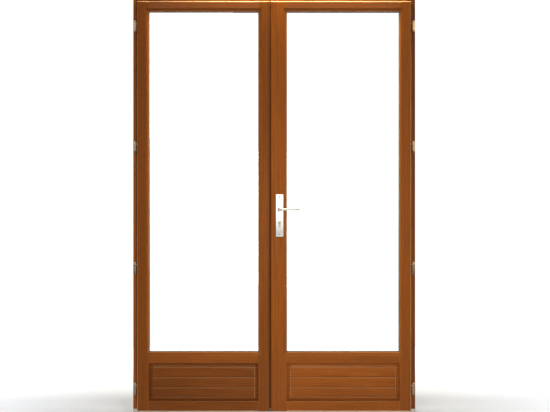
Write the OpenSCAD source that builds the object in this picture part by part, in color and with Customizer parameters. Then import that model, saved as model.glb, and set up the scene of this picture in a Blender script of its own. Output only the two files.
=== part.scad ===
// French doors: two glazed wooden leaves with lower panels, hung in a wooden frame.
// X runs to the right as seen from the room, -Y points into the room, Z is up.
// The origin is the centre of the threshold's underside, at the frame's mid depth.

/* [Frame] */
// Overall width of the frame
frame_w = 1480; // [1240:10:1800]
// Overall height, threshold included
frame_h = 2180; // [1810:10:2620]
// Depth of the jambs and the head
frame_d = 58; // [54:1:72]
// Thickness of a jamb or head beside its rebate
frame_t = 38; // [34:1:50]
// How far the stop stands in from the rebate
stop_w = 20; // [17:1:24]
// Depth of the stop
stop_d = 16; // [13:1:20]
// Height of the threshold
sill_h = 20; // [18:1:26]
// How far the threshold's nose stands out of the frame
nose_d = 33; // [20:1:45]
// Radius of a fixing hole through a jamb
fixing_r = 5.2; // [3:0.1:6.5]
// Fixing holes in each jamb
fixing_n = 4; // [2:1:5]

/* [Leaves] */
// Thickness of the lip that laps over the frame
lip_t = 16; // [14:1:22]
// How far the lip laps over the jambs and the head
lip_over = 16; // [13:1:17]
// How far the lip hangs in front of the threshold
lip_drop = 10; // [6:1:14]
// Width of a hinge stile, lip included
hinge_stile_w = 62; // [54:1:80]
// Width of the active leaf's meeting stile, lap included
lock_stile_w = 86; // [84:1:110]
// Width of the passive leaf's meeting stile in front of the lap
passive_stile_w = 62; // [52:1:80]
// Width of the top rail, lip included
top_rail_w = 54; // [48:1:80]
// Width of the bottom rail, lip included
bottom_rail_w = 54; // [48:1:90]
// Width of the rail between glass and panel
mid_rail_w = 58; // [50:1:90]
// Height of the panel that shows
panel_h = 199; // [160:1:420]
// Width of the active leaf's lap over the passive leaf
lap_w = 17; // [14:1:20]
// Radius of the lips' front edges
lip_r = 6; // [3:0.5:7]

/* [Glass] */
// Width of a glazing bead
bead_w = 18; // [15:1:21]
// Thickness of one pane
pane_t = 4; // [3:1:5]
// Space between the panes
pane_gap = 16; // [13:1:19]

/* [Hinges] */
// Hinges on each leaf
hinge_n = 4; // [3:1:5]
// Radius of a hinge barrel
barrel_r = 7; // [6:0.5:7.5]
// Height of a hinge, dome included
hinge_h = 64; // [54:1:80]
// Radius of a hinge pin
pin_r = 3.5; // [3:0.5:4]

/* [Handle] */
// Height of the lever's axis
lever_z = 1067; // [900:1:1120]
// Distance of the lever's axis from the active leaf's edge
backset = 30; // [28:1:32]
// Length of the lever from its axis
lever_len = 107; // [89:1:130]
// How far the middle of the grip stands off the leaf
lever_reach = 48; // [40:1:58]
// Thickness of the grip
grip_t = 10; // [8:0.5:12]
// Radius of the grip's round tip
tip_r = 8.5; // [7:0.5:10.5]
// Width of the inside plate
plate_w = 40; // [34:1:46]
// Height of the plates
plate_h = 222; // [215:1:250]
// Distance between the plate screws
screw_pitch = 195; // [185:1:200]

/* [Hidden] */
$fn = 48;
over = 1;

// clearances
leaf_gap = 4;        // leaf body to rebate, and between the two leaf bodies
lip_gap = 1;         // lip to the face that it laps over
seal_gap = 3;        // leaf to stop, filled by the seal
seal_rest = 0.3;     // seal to leaf
joint_gap = 3;       // the joint that shows between the leaves
fit = 0.2;           // joinery
run = 0.05;          // running fit on a radius
slide = 0.5;         // bolts and rods in their ways

// frame planes
front_y = -frame_d / 2;
rear_y = frame_d / 2;
stop_y = rear_y - stop_d;
rebate_x = frame_w / 2 - frame_t;
stop_x = rebate_x - stop_w;
rebate_z = frame_h - frame_t;
stop_z = rebate_z - stop_w;

// leaf planes, with the hinge on the +X side
lip_y = front_y - lip_gap;
leaf_front = lip_y - lip_t;
leaf_rear = stop_y - seal_gap;
lip_x = rebate_x + lip_over;
body_x = rebate_x - leaf_gap;
lip_top = rebate_z + lip_over;
body_top = rebate_z - leaf_gap;
lip_bottom = sill_h - lip_drop;
body_bottom = sill_h + leaf_gap;
meet_x = -4;
active_edge = meet_x + leaf_gap / 2;
active_lap = active_edge - lap_w;
passive_edge = meet_x - leaf_gap / 2;
passive_front = active_lap - joint_gap;

// rails and openings
sight_top = lip_top - top_rail_w;
panel_bottom = lip_bottom + bottom_rail_w;
panel_top = panel_bottom + panel_h;
sight_bottom = panel_top + mid_rail_w;
sight_hinge = lip_x - hinge_stile_w;
sight_active = active_lap + lock_stile_w;
sight_passive = -passive_front + passive_stile_w;
tenon_y0 = leaf_rear - 12;
tenon_y1 = leaf_rear - 4;
tenon_l = 30;
tenon_in = 4;

// glazing, from the rear lip forward
rear_lip = 14;
tape_t = 3;
tape_w = 9;
pocket_y = leaf_rear - rear_lip;
pane_y = pocket_y - tape_t;
unit_t = 2 * pane_t + pane_gap;
bead_back = pane_y - unit_t - tape_t;
bead_sink = 1;
bead_flat = 4;
bead_nose = 2;
edge_clear = 5;
spacer_in = 4;
spacer_w = 7;
block_l = 80;

// lower panel
groove_d = 12;
groove_t = 12;
groove_y = leaf_rear - 34;
panel_play = 3;
border_w = 18;
border_rise = 3;
field_front = 10;
field_rear = 4;

// exterior trim
drip_h = 45;
drip_d = 35;
drip_z = sill_h + 10;
drip_end = 10;
strip_over = 8;
strip_w = 40;
strip_d = 14;
strip_r = 6;

// hinges
hinge_first = 128;
hinge_top = 131;
hinge_pitch = (lip_top - hinge_top - hinge_first) / (hinge_n - 1);
hinge_x = lip_x + 3 + barrel_r;
hinge_y = (leaf_front + lip_y) / 2;
hinge_split = 0.15;
shank_l = 28;
frame_dowel_l = 28;

// lock
lever_x = active_edge + backset;
cylinder_drop = 70;
cylinder_z = lever_z - cylinder_drop;
cyl_r = 8.5;
cyl_stem = 24.5;
plug_r = 5.5;
key_slot = 1.4;
lock_front = leaf_rear - 28;
lock_rear = leaf_rear - 12;
case_wall = 1.5;
case_z0 = cylinder_z - 80;
case_z1 = lever_z + 83;
face_t = 3;
face_back = active_edge + face_t;
case_x = lever_x + 19.5;
rod_x0 = face_back + 1;
rod_x1 = rod_x0 + 7;
rod_y0 = lock_rear - 7;
rod_y1 = lock_rear - 2;
rod_end = 0.5;
spindle_w = 8;
gear_m = 2;
gear_n = 12;
gear_r = gear_m * gear_n / 2;
rod_travel = gear_r * PI / 2;
tooth_pitch = gear_m * PI;
tooth_out = 1.6;
tooth_w = [1.95, 1.2, 0.6];
tooth_in = 2.5;
rack_t = 3;
arm_h = 8;
arm_drop = 41;
hub_r = 7;
bolt_h = 22;
bolt_travel = 16;
bolt_y0 = lock_front + 2;
bolt_y1 = lock_front + 8;
bolt_tail = 19.5;
plate_t = 9;
outer_plate_w = 28;
outer_plate_t = 8;
plate_r = 3;
collar_r = 9;
boss_r = 11.5;
screw_r = 2.5;
screw_head_r = 4.5;
boss_h = 7.3;
neck_r = 8;
neck_bend = 12;
neck_fillet = 6;
root_r = 6;
grip_rise = 2;
socket_in = 20;

// flush bolts of the passive leaf and the keeps
flush_w = 8;
flush_l = 150;
flush_plate_l = 180;
flush_plate_w = 18;
flush_travel = 18;
flush_x = -passive_edge + face_t + 1;
flush_y0 = leaf_rear - 19;
thumb_h = 16;
keep_t = 2;
keep_x0 = -28;
keep_x1 = 19;
keep_y0 = leaf_rear - 26;
keep_y1 = leaf_rear - 7;
keep_deep = 22;

// seal and threshold section
seal_in = 2;
seal_w = 8;
kerf_w = 3;
kerf_d = 5;
chamber_wall = 2.5;
chamber_top = 4.5;

wood = "#82481d";
metal = "#b9b9b7";
steel = "#9a9da0";
bronze = "#8d6238";
rubber = "#2b2622";

// ---- shared shapes ----

module box(x, y, z) {
    translate([x[0], y[0], z[0]]) cube([x[1] - x[0], y[1] - y[0], z[1] - z[0]]);
}

// An outline of (z, y) points, drawn out along X
module along_x(x) {
    translate([x[1], 0, 0]) rotate([0, -90, 0]) linear_extrude(x[1] - x[0]) children();
}

// An outline of (x, z) points, drawn out along Y
module along_y(y) {
    translate([0, y[1], 0]) rotate([90, 0, 0]) linear_extrude(y[1] - y[0]) children();
}

module along_z(z) {
    translate([0, 0, z[0]]) linear_extrude(z[1] - z[0]) children();
}

module rod_y(x, z, r, y) {
    translate([x, y[1], z]) rotate([90, 0, 0]) cylinder(h = y[1] - y[0], r = r);
}

module rect(x, y) {
    translate([x[0], y[0]]) square([x[1] - x[0], y[1] - y[0]]);
}

function span(a, b) = [min(a, b), max(a, b)];

// The waste outside a rounded corner at p, which points out along s
module corner(p, s, r) {
    difference() {
        rect(span(p[0] - r * s[0], p[0] + over * s[0]), span(p[1] - r * s[1], p[1] + over * s[1]));
        translate([p[0] - r * s[0], p[1] - r * s[1]]) circle(r);
    }
}

module rounded_rect(x, y, r) {
    difference() {
        rect(x, y);
        for (i = [0, 1], j = [0, 1]) corner([x[i], y[j]], [2 * i - 1, 2 * j - 1], r);
    }
}

// A border of width w around the outside of an opening
module ring(x, z, w, y) {
    difference() {
        box([x[0] - w, x[1] + w], y, [z[0] - w, z[1] + w]);
        box(x, [y[0] - over, y[1] + over], z);
    }
}

// ---- frame ----

module jamb() {
    color(wood) difference() {
        union() {
            box([rebate_x, frame_w / 2], [front_y, rear_y], [sill_h, frame_h]);
            box([stop_x, rebate_x], [stop_y, rear_y], [sill_h, frame_h]);
        }
        head_tenon(fit);
        seal_kerf();
        for (z = fixing_heights())
            translate([rebate_x - over, fixing_y(), z]) rotate([0, 90, 0])
                cylinder(h = frame_t + 2 * over, r = fixing_r);
        for (z = hinge_heights())
            rod_y(hinge_x, z - hinge_h / 4, pin_r + run, [front_y - over, front_y + frame_dowel_l]);
    }
}

function fixing_y() = (front_y + stop_y) / 2;
function fixing_heights() = [for (i = [0:fixing_n - 1])
    300 + i * (frame_h - 680) / (fixing_n - 1)];
function hinge_heights() = [for (i = [0:hinge_n - 1]) hinge_first + i * hinge_pitch];

module head_tenon(play) {
    box([rebate_x - over, rebate_x + 20 + play], [front_y + 17 - play, stop_y - 9 + play],
        [rebate_z + 4 - play, frame_h - 4 + play]);
}

module frame_left_jamb() { mirror([1, 0, 0]) jamb(); }
module frame_right_jamb() { jamb(); }

module frame_head() {
    color(wood) difference() {
        union() {
            box([-rebate_x, rebate_x], [front_y, stop_y], [rebate_z, frame_h]);
            box([-stop_x, stop_x], [stop_y, rear_y], [stop_z, frame_h]);
            head_tenon(0);
            mirror([1, 0, 0]) head_tenon(0);
        }
        seal_kerf();
        box([keep_x0, keep_x1], [keep_y0, keep_y1], [rebate_z - over, rebate_z + keep_t]);
        for (w = [rod_way(), flush_way()])
            box(w[0], w[1], [rebate_z - over, rebate_z + keep_deep]);
    }
}

// Where the active leaf's rods and the passive leaf's bolts enter the frame
function rod_way() = [[rod_x0 - slide, rod_x1 + slide], [rod_y0 - slide, rod_y1 + slide]];
function flush_way() = [[-flush_x - flush_w - slide, -flush_x + slide],
    [flush_y0 - slide, flush_y0 + flush_w + slide]];

module keep(z) {
    difference() {
        box([keep_x0, keep_x1], [keep_y0, keep_y1], z);
        for (w = [rod_way(), flush_way()]) box(w[0], w[1], [z[0] - over, z[1] + over]);
    }
}

module frame_keeps() {
    color(steel) {
        keep([rebate_z, rebate_z + keep_t]);
        keep([sill_h - keep_t, sill_h]);
    }
}

module threshold() {
    web = (front_y + rear_y) / 2 + 13;
    color(metal) difference() {
        along_x([-frame_w / 2, frame_w / 2]) difference() {
            polygon([[0, front_y], [0, rear_y + nose_d], [6, rear_y + nose_d],
                [sill_h, rear_y], [sill_h, front_y]]);
            rect([chamber_wall, sill_h - chamber_top], [front_y + chamber_wall, web - 1]);
            rect([chamber_wall, sill_h - chamber_top], [web + 1, rear_y - chamber_wall]);
        }
        box([keep_x0, keep_x1], [keep_y0, keep_y1], [sill_h - keep_t, sill_h + over]);
        for (w = [rod_way(), flush_way()])
            box(w[0], w[1], [chamber_wall + over, sill_h + over]);
        box([-rebate_x + 12, rebate_x - 12], [keep_y1 + 2, stop_y - 1],
            [sill_h - keep_t, sill_h + over]);
    }
}

// An upside-down U that follows the stops, w wide and set in from their edge
module seal_loop(in, w, y) {
    difference() {
        box([-stop_x - in - w, stop_x + in + w], y, [sill_h, stop_z + in + w]);
        box([-stop_x - in, stop_x + in], [y[0] - over, y[1] + over],
            [sill_h - over, stop_z + in]);
    }
}

module seal_kerf() {
    seal_loop(seal_in + (seal_w - kerf_w) / 2, kerf_w, [stop_y - over, stop_y + kerf_d]);
}

module frame_seal() {
    color(rubber) {
        seal_loop(seal_in, seal_w, [leaf_rear + seal_rest, stop_y]);
        seal_loop(seal_in + (seal_w - kerf_w) / 2, kerf_w, [stop_y, stop_y + kerf_d]);
    }
}

// ---- leaves: each is drawn with its hinge on the +X side ----

function edge(active) = active ? active_edge : -passive_edge;
function front_edge(active) = active ? active_lap : -passive_front;
function sight(active) = active ? sight_active : sight_passive;
function step_y(active) = active ? lip_y : front_y;

module leaf_plan(active) {
    difference() {
        polygon([[front_edge(active), leaf_front], [lip_x, leaf_front], [lip_x, lip_y],
            [body_x, lip_y], [body_x, leaf_rear], [edge(active), leaf_rear],
            [edge(active), step_y(active)], [front_edge(active), step_y(active)]]);
        corner([lip_x, leaf_front], [1, -1], lip_r);
        corner([front_edge(active), leaf_front], [-1, -1], lip_r - 2);
    }
}

module leaf_side() {
    difference() {
        polygon([[lip_bottom, leaf_front], [lip_top, leaf_front], [lip_top, lip_y],
            [body_top, lip_y], [body_top, leaf_rear], [body_bottom, leaf_rear],
            [body_bottom, lip_y], [lip_bottom, lip_y]]);
        corner([lip_top, leaf_front], [1, -1], lip_r);
        corner([lip_bottom, leaf_front], [-1, -1], lip_r);
    }
}

// The part of the leaf's outline that lies in one zone
module leaf_zone(active, x, z) {
    intersection() {
        along_z(z) leaf_plan(active);
        along_x(x) leaf_side();
    }
}

module glazing_pocket(active) {
    box([sight(active) - bead_w, sight_hinge + bead_w], [leaf_front - over, pocket_y],
        [sight_bottom - bead_w, sight_top + bead_w]);
}

module panel_groove(active) {
    box([sight(active) - groove_d, sight_hinge + groove_d], [groove_y, groove_y + groove_t],
        [panel_bottom - groove_d, panel_top + groove_d]);
}

function rail_tenons() = [[sight_top + tenon_in, body_top - tenon_in],
    [panel_top + tenon_in, sight_bottom - tenon_in],
    [body_bottom + tenon_in, panel_bottom - tenon_in]];

module tenon(active, z, play) {
    box([sight(active) - tenon_l - play, sight_hinge + tenon_l + play],
        [tenon_y0 - play, tenon_y1 + play], [z[0] - play, z[1] + play]);
}

module stile_cuts(active) {
    glazing_pocket(active);
    panel_groove(active);
    for (z = rail_tenons()) tenon(active, z, fit);
}

module hinge_stile(active) {
    color(wood) difference() {
        leaf_zone(active, [sight_hinge, lip_x], [lip_bottom, lip_top]);
        stile_cuts(active);
        for (z = hinge_heights())
            translate([lip_x - shank_l - over, hinge_y, z + hinge_h / 4]) rotate([0, 90, 0])
                cylinder(h = shank_l + 2 * over, r = pin_r + run);
    }
}

module meeting_stile(active) {
    leaf_zone(active, [front_edge(active) - 20, sight(active)], [lip_bottom, lip_top]);
}

module rail(active, z, tenon_z) {
    color(wood) union() {
        difference() {
            leaf_zone(active, [sight(active), sight_hinge], z);
            glazing_pocket(active);
            panel_groove(active);
        }
        difference() {
            tenon(active, tenon_z, 0);
            box([sight(active), sight_hinge], [leaf_front, leaf_rear], z);
        }
    }
}

module top_rail(active) { rail(active, [sight_top, lip_top], rail_tenons()[0]); }
module mid_rail(active) { rail(active, [panel_top, sight_bottom], rail_tenons()[1]); }
module bottom_rail(active) { rail(active, [lip_bottom, panel_bottom], rail_tenons()[2]); }

// Section of the raised panel across an opening from a to b
module panel_section(a, b) {
    out = groove_d - panel_play;
    f = groove_y + fit;
    r = groove_y + groove_t - fit;
    front = [[-out, f], [1, f], [1, f - 2], [border_w, f - 2 - border_rise],
        [border_w + 2, f - field_front]];
    back = [[border_w + 2, r + field_rear], [border_w, r + 1], [1, r], [-out, r]];
    polygon(concat([for (p = front) [a + p[0], p[1]]],
        [for (i = [len(front) - 1:-1:0]) [b - front[i][0], front[i][1]]],
        [for (i = [len(back) - 1:-1:0]) [b - back[i][0], back[i][1]]],
        [for (p = back) [a + p[0], p[1]]]));
}

module panel(active) {
    color(wood) intersection() {
        along_z([panel_bottom - groove_d, panel_top + groove_d])
            panel_section(sight(active), sight_hinge);
        along_x([sight(active) - groove_d, sight_hinge + groove_d])
            panel_section(panel_bottom, panel_top);
    }
}

// Points of a bead's section: distance from the rebate's wall, then depth
function bead_points() = let (top = leaf_front + bead_sink, rise = bead_back - bead_nose - top - 1)
    concat([[0, bead_back], [0, top], [bead_flat, top]],
        [for (t = [0:15:90]) [bead_flat + (bead_w - bead_flat) * sin(t),
            bead_back - bead_nose - rise * cos(t)]],
        [[bead_w, bead_back]]);

// A bead along X between a and b, with its back on the rebate's wall at z
module bead_x(a, b, z, s) {
    intersection() {
        along_x([a, b]) polygon([for (p = bead_points()) [z + s * p[0], p[1]]]);
        along_y([leaf_front, bead_back + over]) polygon([[a, z], [b, z],
            [b - bead_w, z + s * bead_w], [a + bead_w, z + s * bead_w]]);
    }
}

module bead_z(a, b, x, s) {
    intersection() {
        along_z([a, b]) polygon([for (p = bead_points()) [x + s * p[0], p[1]]]);
        along_y([leaf_front, bead_back + over]) polygon([[x, a], [x, b],
            [x + s * bead_w, b - bead_w], [x + s * bead_w, a + bead_w]]);
    }
}

module top_bead(active) {
    color(wood) bead_x(sight(active) - bead_w, sight_hinge + bead_w, sight_top + bead_w, -1);
}

module bottom_bead(active) {
    color(wood) bead_x(sight(active) - bead_w, sight_hinge + bead_w, sight_bottom - bead_w, 1);
}

module side_beads(active) {
    color(wood) {
        bead_z(sight_bottom - bead_w, sight_top + bead_w, sight(active) - bead_w, 1);
        bead_z(sight_bottom - bead_w, sight_top + bead_w, sight_hinge + bead_w, -1);
    }
}

module pane(active, y) {
    out = bead_w - edge_clear;
    color("#cfe3df", 0.35) box([sight(active) - out, sight_hinge + out], [y, y + pane_t],
        [sight_bottom - out, sight_top + out]);
}

module spacer(active) {
    out = bead_w - edge_clear - spacer_in - spacer_w;
    y = pane_y - pane_t - pane_gap;
    color("#3a3a3a") ring([sight(active) - out, sight_hinge + out],
        [sight_bottom - out, sight_top + out], spacer_w, [y, y + pane_gap]);
}

module glazing_tapes(active) {
    color(rubber) for (y = [bead_back, pane_y])
        ring([sight(active), sight_hinge], [sight_bottom, sight_top], tape_w, [y, y + tape_t]);
}

module setting_blocks(active) {
    span = sight_hinge - sight(active);
    z = sight_bottom - bead_w;
    color("#30302e") for (f = [0.2, 0.8])
        box([sight(active) + f * span - block_l / 2, sight(active) + f * span + block_l / 2],
            [pane_y - unit_t, pane_y], [z, z + edge_clear]);
}

module drip_bar(x) {
    y = leaf_rear;
    arc = [for (t = [0:15:90]) [drip_z + 12 + (drip_h - 16) * (1 - sin(t)),
        y + drip_d - (drip_d - 6) * cos(t)]];
    color(wood) along_x(x) difference() {
        polygon(concat([[drip_z, y], [drip_z, y + drip_d], [drip_z + 8, y + drip_d]],
            [for (i = [len(arc) - 1:-1:0]) arc[i]],
            [[drip_z + drip_h, y + 6], [drip_z + drip_h, y]]));
        rect([drip_z - over, drip_z + 4], [y + drip_d - 9, y + drip_d - 5]);
    }
}

// ---- hinges ----

module hinge_pins() {
    color(bronze) for (z = hinge_heights()) {
        translate([hinge_x, hinge_y, z - hinge_h / 2]) {
            cylinder(h = hinge_h / 2 - hinge_split, r = barrel_r);
            cylinder(h = hinge_h - barrel_r, r = pin_r);
        }
        rod_y(hinge_x, z - hinge_h / 4, pin_r, [hinge_y, front_y + frame_dowel_l - over]);
    }
}

module hinge_cups() {
    dome = hinge_h / 2 - 4;
    color(bronze) for (z = hinge_heights()) difference() {
        union() {
            translate([hinge_x, hinge_y, z]) {
                translate([0, 0, hinge_split])
                    cylinder(h = dome - hinge_split, r = barrel_r);
                translate([0, 0, dome]) rotate_extrude() intersection() {
                    translate([0, 4 - dome_r()]) circle(dome_r(), $fn = 96);
                    rect([0, barrel_r], [0, 5]);
                }
            }
            translate([lip_x - shank_l, hinge_y, z + hinge_h / 4]) rotate([0, 90, 0])
                cylinder(h = hinge_x - lip_x + shank_l, r = pin_r);
        }
        translate([hinge_x, hinge_y, z - over])
            cylinder(h = hinge_h / 2 - barrel_r + 1 + over, r = pin_r + run);
    }
}

// Radius of a dome 4 high on the barrel
function dome_r() = (barrel_r * barrel_r + 16) / 8;

// ---- right leaf: the active one, with the lock ----

module right_hinge_stile() { hinge_stile(true); }

module right_meeting_stile() {
    color(wood) difference() {
        meeting_stile(true);
        stile_cuts(true);
        box([rod_x0 - 1, rod_x1 + 1], [rod_y0 - slide, rod_y1 + slide],
            [body_bottom - over, body_top + over]);
        box([active_edge - over, face_back], [lock_front, lock_rear], faceplate_z());
        box([face_back - over, case_x + slide], [lock_front - slide, lock_rear + slide],
            [case_z0 - slide, case_z1 + slide]);
        rod_y(lever_x, lever_z, collar_r + 1, [leaf_front - over, leaf_rear + over]);
        along_y([leaf_front - over, leaf_rear + over]) cylinder_outline(0.5);
        for (z = screw_heights())
            rod_y(lever_x, z, screw_r + 0.3, [leaf_front - over, leaf_rear + over]);
    }
}

function faceplate_z() = [body_bottom + 36, body_top - 38];
function screw_heights() = [for (s = [-1, 1]) lever_z - 32 + s * screw_pitch / 2];

module right_top_rail() { top_rail(true); }
module right_mid_rail() { mid_rail(true); }
module right_bottom_rail() { bottom_rail(true); }
module right_panel() { panel(true); }
module right_top_bead() { top_bead(true); }
module right_bottom_bead() { bottom_bead(true); }
module right_side_beads() { side_beads(true); }
module right_inner_pane() { pane(true, pane_y - unit_t); }
module right_outer_pane() { pane(true, pane_y - pane_t); }
module right_spacer() { spacer(true); }
module right_glazing_tapes() { glazing_tapes(true); }
module right_setting_blocks() { setting_blocks(true); }
module right_drip_bar() {
    drip_bar([passive_edge + 12 + drip_end, stop_x - drip_end]);
}
module right_hinge_cups() { hinge_cups(); }
module right_hinge_pins() { hinge_pins(); }

// The profile cylinder's outline in (x, z), grown by g
module cylinder_outline(g) {
    translate([lever_x, cylinder_z]) {
        circle(cyl_r + g);
        rect([-5 - g, 5 + g], [-cyl_stem + 5, 0]);
        translate([0, -cyl_stem + 5]) circle(5 + g);
    }
}

module lock_case() {
    color(steel) difference() {
        box([face_back, case_x], [lock_front, lock_rear], [case_z0, case_z1]);
        box([face_back - over, case_x - case_wall],
            [lock_front + case_wall, lock_rear - case_wall],
            [case_z0 + case_wall, case_z1 - case_wall]);
        box([rod_x0 - slide, rod_x1 + slide], [rod_y0 - slide, rod_y1 + slide],
            [case_z0 - over, case_z1 + over]);
        rod_y(lever_x, lever_z, hub_r + run, [lock_front - over, lock_rear + over]);
        along_y([lock_front - over, lock_rear + over]) cylinder_outline(fit);
        for (z = screw_heights())
            rod_y(lever_x, z, screw_r + 0.3, [lock_front - over, lock_rear + over]);
    }
}

module lock_faceplate() {
    g = 0.3;
    color(steel) difference() {
        box([active_edge, face_back], [lock_front, lock_rear], faceplate_z());
        box([active_edge - over, face_back + over], [bolt_y0 - g, bolt_y1 + g],
            [cylinder_z - bolt_h / 2 - g, cylinder_z + bolt_h / 2 + g]);
    }
}

module cylinder_body() {
    y = [leaf_front - plate_t - 2, leaf_rear + outer_plate_t + 2];
    mid = (lock_front + lock_rear) / 2;
    color(metal) difference() {
        along_y(y) cylinder_outline(0);
        rod_y(lever_x, cylinder_z, plug_r + run, [y[0] - over, y[1] + over]);
        box([lever_x - cyl_r - over, lever_x + cyl_r + over], [mid - 5.2, mid + 5.2],
            [cylinder_z - cyl_r - 1, cylinder_z + cyl_r + over]);
    }
}

module key_plug() {
    y = [leaf_front - plate_t - 2.5, leaf_rear + outer_plate_t + 2.5];
    mid = (lock_front + lock_rear) / 2;
    color(metal) difference() {
        union() {
            rod_y(lever_x, cylinder_z, plug_r, y);
            rod_y(lever_x, cylinder_z, cyl_r - 0.2, [mid - 5, mid + 5]);
        }
        for (s = [[y[0] - over, y[0] + 12], [y[1] - 12, y[1] + over]])
            box([lever_x - key_slot / 2, lever_x + key_slot / 2], s,
                [cylinder_z - 4, cylinder_z + 4]);
    }
}

module handle_plate(w, y, head_y) {
    z = [lever_z - 32 - plate_h / 2, lever_z - 32 + plate_h / 2];
    color(metal) difference() {
        along_y(y) difference() {
            rounded_rect([lever_x - w / 2, lever_x + w / 2], z, plate_r);
            cylinder_outline(fit);
        }
        rod_y(lever_x, lever_z, collar_r, [y[0] - over, y[1] + over]);
        for (h = screw_heights()) rod_y(lever_x, h, screw_r + 0.1, head_y);
    }
}

module inside_plate() {
    y = [leaf_front - plate_t, leaf_front];
    color(metal) difference() {
        handle_plate(plate_w, y, [y[0] - over, y[1] + over]);
        for (h = screw_heights()) screw_head(h, 0.1);
    }
}

module outside_plate() {
    y = [leaf_rear, leaf_rear + outer_plate_t];
    handle_plate(outer_plate_w, y, [y[0] - over, y[1] - 2]);
}

module screw_head(z, g) {
    translate([lever_x, leaf_front - plate_t - g, z]) rotate([-90, 0, 0])
        cylinder(h = 2.5 + g, r1 = screw_head_r + g, r2 = screw_r + g);
}

module plate_screws() {
    color(steel) for (z = screw_heights()) difference() {
        union() {
            screw_head(z, 0);
            rod_y(lever_x, z, screw_r, [leaf_front - plate_t + 2, leaf_rear + outer_plate_t - 3]);
        }
        for (c = [[2.2, 0.45], [0.45, 2.2]])
            box([lever_x - c[0], lever_x + c[0]], [leaf_front - plate_t - over,
                leaf_front - plate_t + 1.5], [z - c[1], z + c[1]]);
    }
}

// A lever seen from its own side of the leaf: the spindle runs along Z and the grip along +X
module lever(bearing) {
    w = spindle_w / 2 + run;
    color(metal) difference() {
        union() {
            along_z([3, 3 + bearing]) circle(collar_r - run);
            along_z([bearing + 0.3, bearing + boss_h]) circle(boss_r);
            intersection() {
                along_y([-boss_r, boss_r]) lever_plan();
                along_z([0, lever_reach + grip_t]) lever_outline();
            }
        }
        box([-w, w], [-w, w], [-over, lever_reach - socket_in]);
    }
}

// The lever from above, as (x, distance from the leaf): a neck that turns into the grip
module lever_plan() {
    inner = lever_reach - grip_t / 2;
    outer = lever_reach + grip_t / 2;
    side = neck_r - 2;
    difference() {
        union() {
            rect([-neck_r - 1, side], [0, outer]);
            rect([-neck_r - 1, lever_len], [inner, outer]);
            rect([side - over, side + neck_fillet], [inner - neck_fillet, inner + over]);
        }
        translate([side + neck_fillet, inner - neck_fillet]) circle(neck_fillet);
        rect([side + neck_fillet, side + 2 * neck_fillet], [inner - neck_fillet, inner]);
        corner([-neck_r - 1, outer], [-1, 1], neck_bend);
        corner([lever_len, outer], [1, 1], grip_t / 2 - 1);
        corner([lever_len, inner], [1, -1], grip_t / 2 - 1);
    }
}

// The lever from the front: the grip widens and rises a little towards its round tip
module lever_outline() {
    x = lever_len - tip_r;
    a = atan2(grip_rise, x);
    b = acos((root_r - tip_r) / norm([x, grip_rise]));
    circle(neck_r);
    translate([x, grip_rise]) circle(tip_r);
    polygon([root_r * [cos(a + b), sin(a + b)], root_r * [cos(a - b), sin(a - b)],
        [x, grip_rise] + tip_r * [cos(a - b), sin(a - b)],
        [x, grip_rise] + tip_r * [cos(a + b), sin(a + b)]]);
}

module inside_lever() {
    translate([lever_x, leaf_front, lever_z]) rotate([90, 0, 0]) lever(plate_t);
}

module outside_lever() {
    translate([lever_x, leaf_rear, lever_z]) mirror([0, 1, 0]) rotate([90, 0, 0])
        lever(outer_plate_t);
}

module spindle() {
    h = spindle_w / 2;
    reach = lever_reach - socket_in - over;
    color(steel) box([lever_x - h, lever_x + h], [leaf_front - reach, leaf_rear + reach],
        [lever_z - h, lever_z + h]);
}

// A tooth as half widths at its root, its pitch line and its tip

module lock_pinion() {
    h = spindle_w / 2 + 0.05;
    color(steel) difference() {
        union() {
            rod_y(lever_x, lever_z, hub_r, [lock_front - 0.5, lock_rear + 0.5]);
            along_y([rod_y0, rod_y1]) translate([lever_x, lever_z]) {
                circle(gear_r - tooth_in + 0.1);
                for (i = [0:gear_n - 1]) rotate(i * 360 / gear_n)
                    tooth(gear_r - tooth_in, gear_r, gear_r + tooth_out);
            }
        }
        box([lever_x - h, lever_x + h], [lock_front - 2, lock_rear + 2],
            [lever_z - h, lever_z + h]);
    }
}

module tooth(root, mid, tip) {
    polygon([[root - 1, -tooth_w[0]], [root, -tooth_w[0]], [mid, -tooth_w[1]],
        [tip, -tooth_w[2]], [tip, tooth_w[2]], [mid, tooth_w[1]], [root, tooth_w[0]],
        [root - 1, tooth_w[0]]]);
}

// A rack whose pitch line stands at x, with its teeth towards s, from z0 to z1
module rack(x, s, z0, z1) {
    half = tooth_pitch / 2;
    first = ceil((z0 - lever_z) / tooth_pitch);
    last = floor((z1 - lever_z) / tooth_pitch) - 1;
    along_y([rod_y0, rod_y1]) {
        rect(span(x - s * tooth_in, x - s * (tooth_in + rack_t)), [z0, z1]);
        for (i = [first:last]) translate([x, lever_z + half + i * tooth_pitch])
            scale([s, 1]) tooth(-tooth_in, 0, tooth_out);
    }
}

module upper_rod() {
    z0 = lever_z - rod_travel - 10;
    z1 = lever_z + 15;
    color(steel) {
        rack(lever_x - gear_r, 1, z0, z1);
        box([rod_x0, lever_x - gear_r - tooth_in], [rod_y0, rod_y1], [z1 - arm_h, z1]);
        box([rod_x0, rod_x1], [rod_y0, rod_y1], [z1 - arm_h, body_top - rod_end]);
    }
}

module lower_rod() {
    arm_z = lever_z - arm_drop;
    x = lever_x + gear_r + tooth_in;
    color(steel) {
        rack(lever_x + gear_r, -1, arm_z, lever_z + rod_travel + 10);
        box([rod_x0, x + rack_t], [rod_y0, rod_y1], [arm_z, arm_z + arm_h]);
        box([rod_x0, rod_x1], [rod_y0, rod_y1], [body_bottom + rod_end, arm_z + arm_h]);
    }
}

module deadbolt() {
    color(steel) box([active_edge + 0.1, active_edge + bolt_tail], [bolt_y0, bolt_y1],
        [cylinder_z - bolt_h / 2, cylinder_z + bolt_h / 2]);
}

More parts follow.
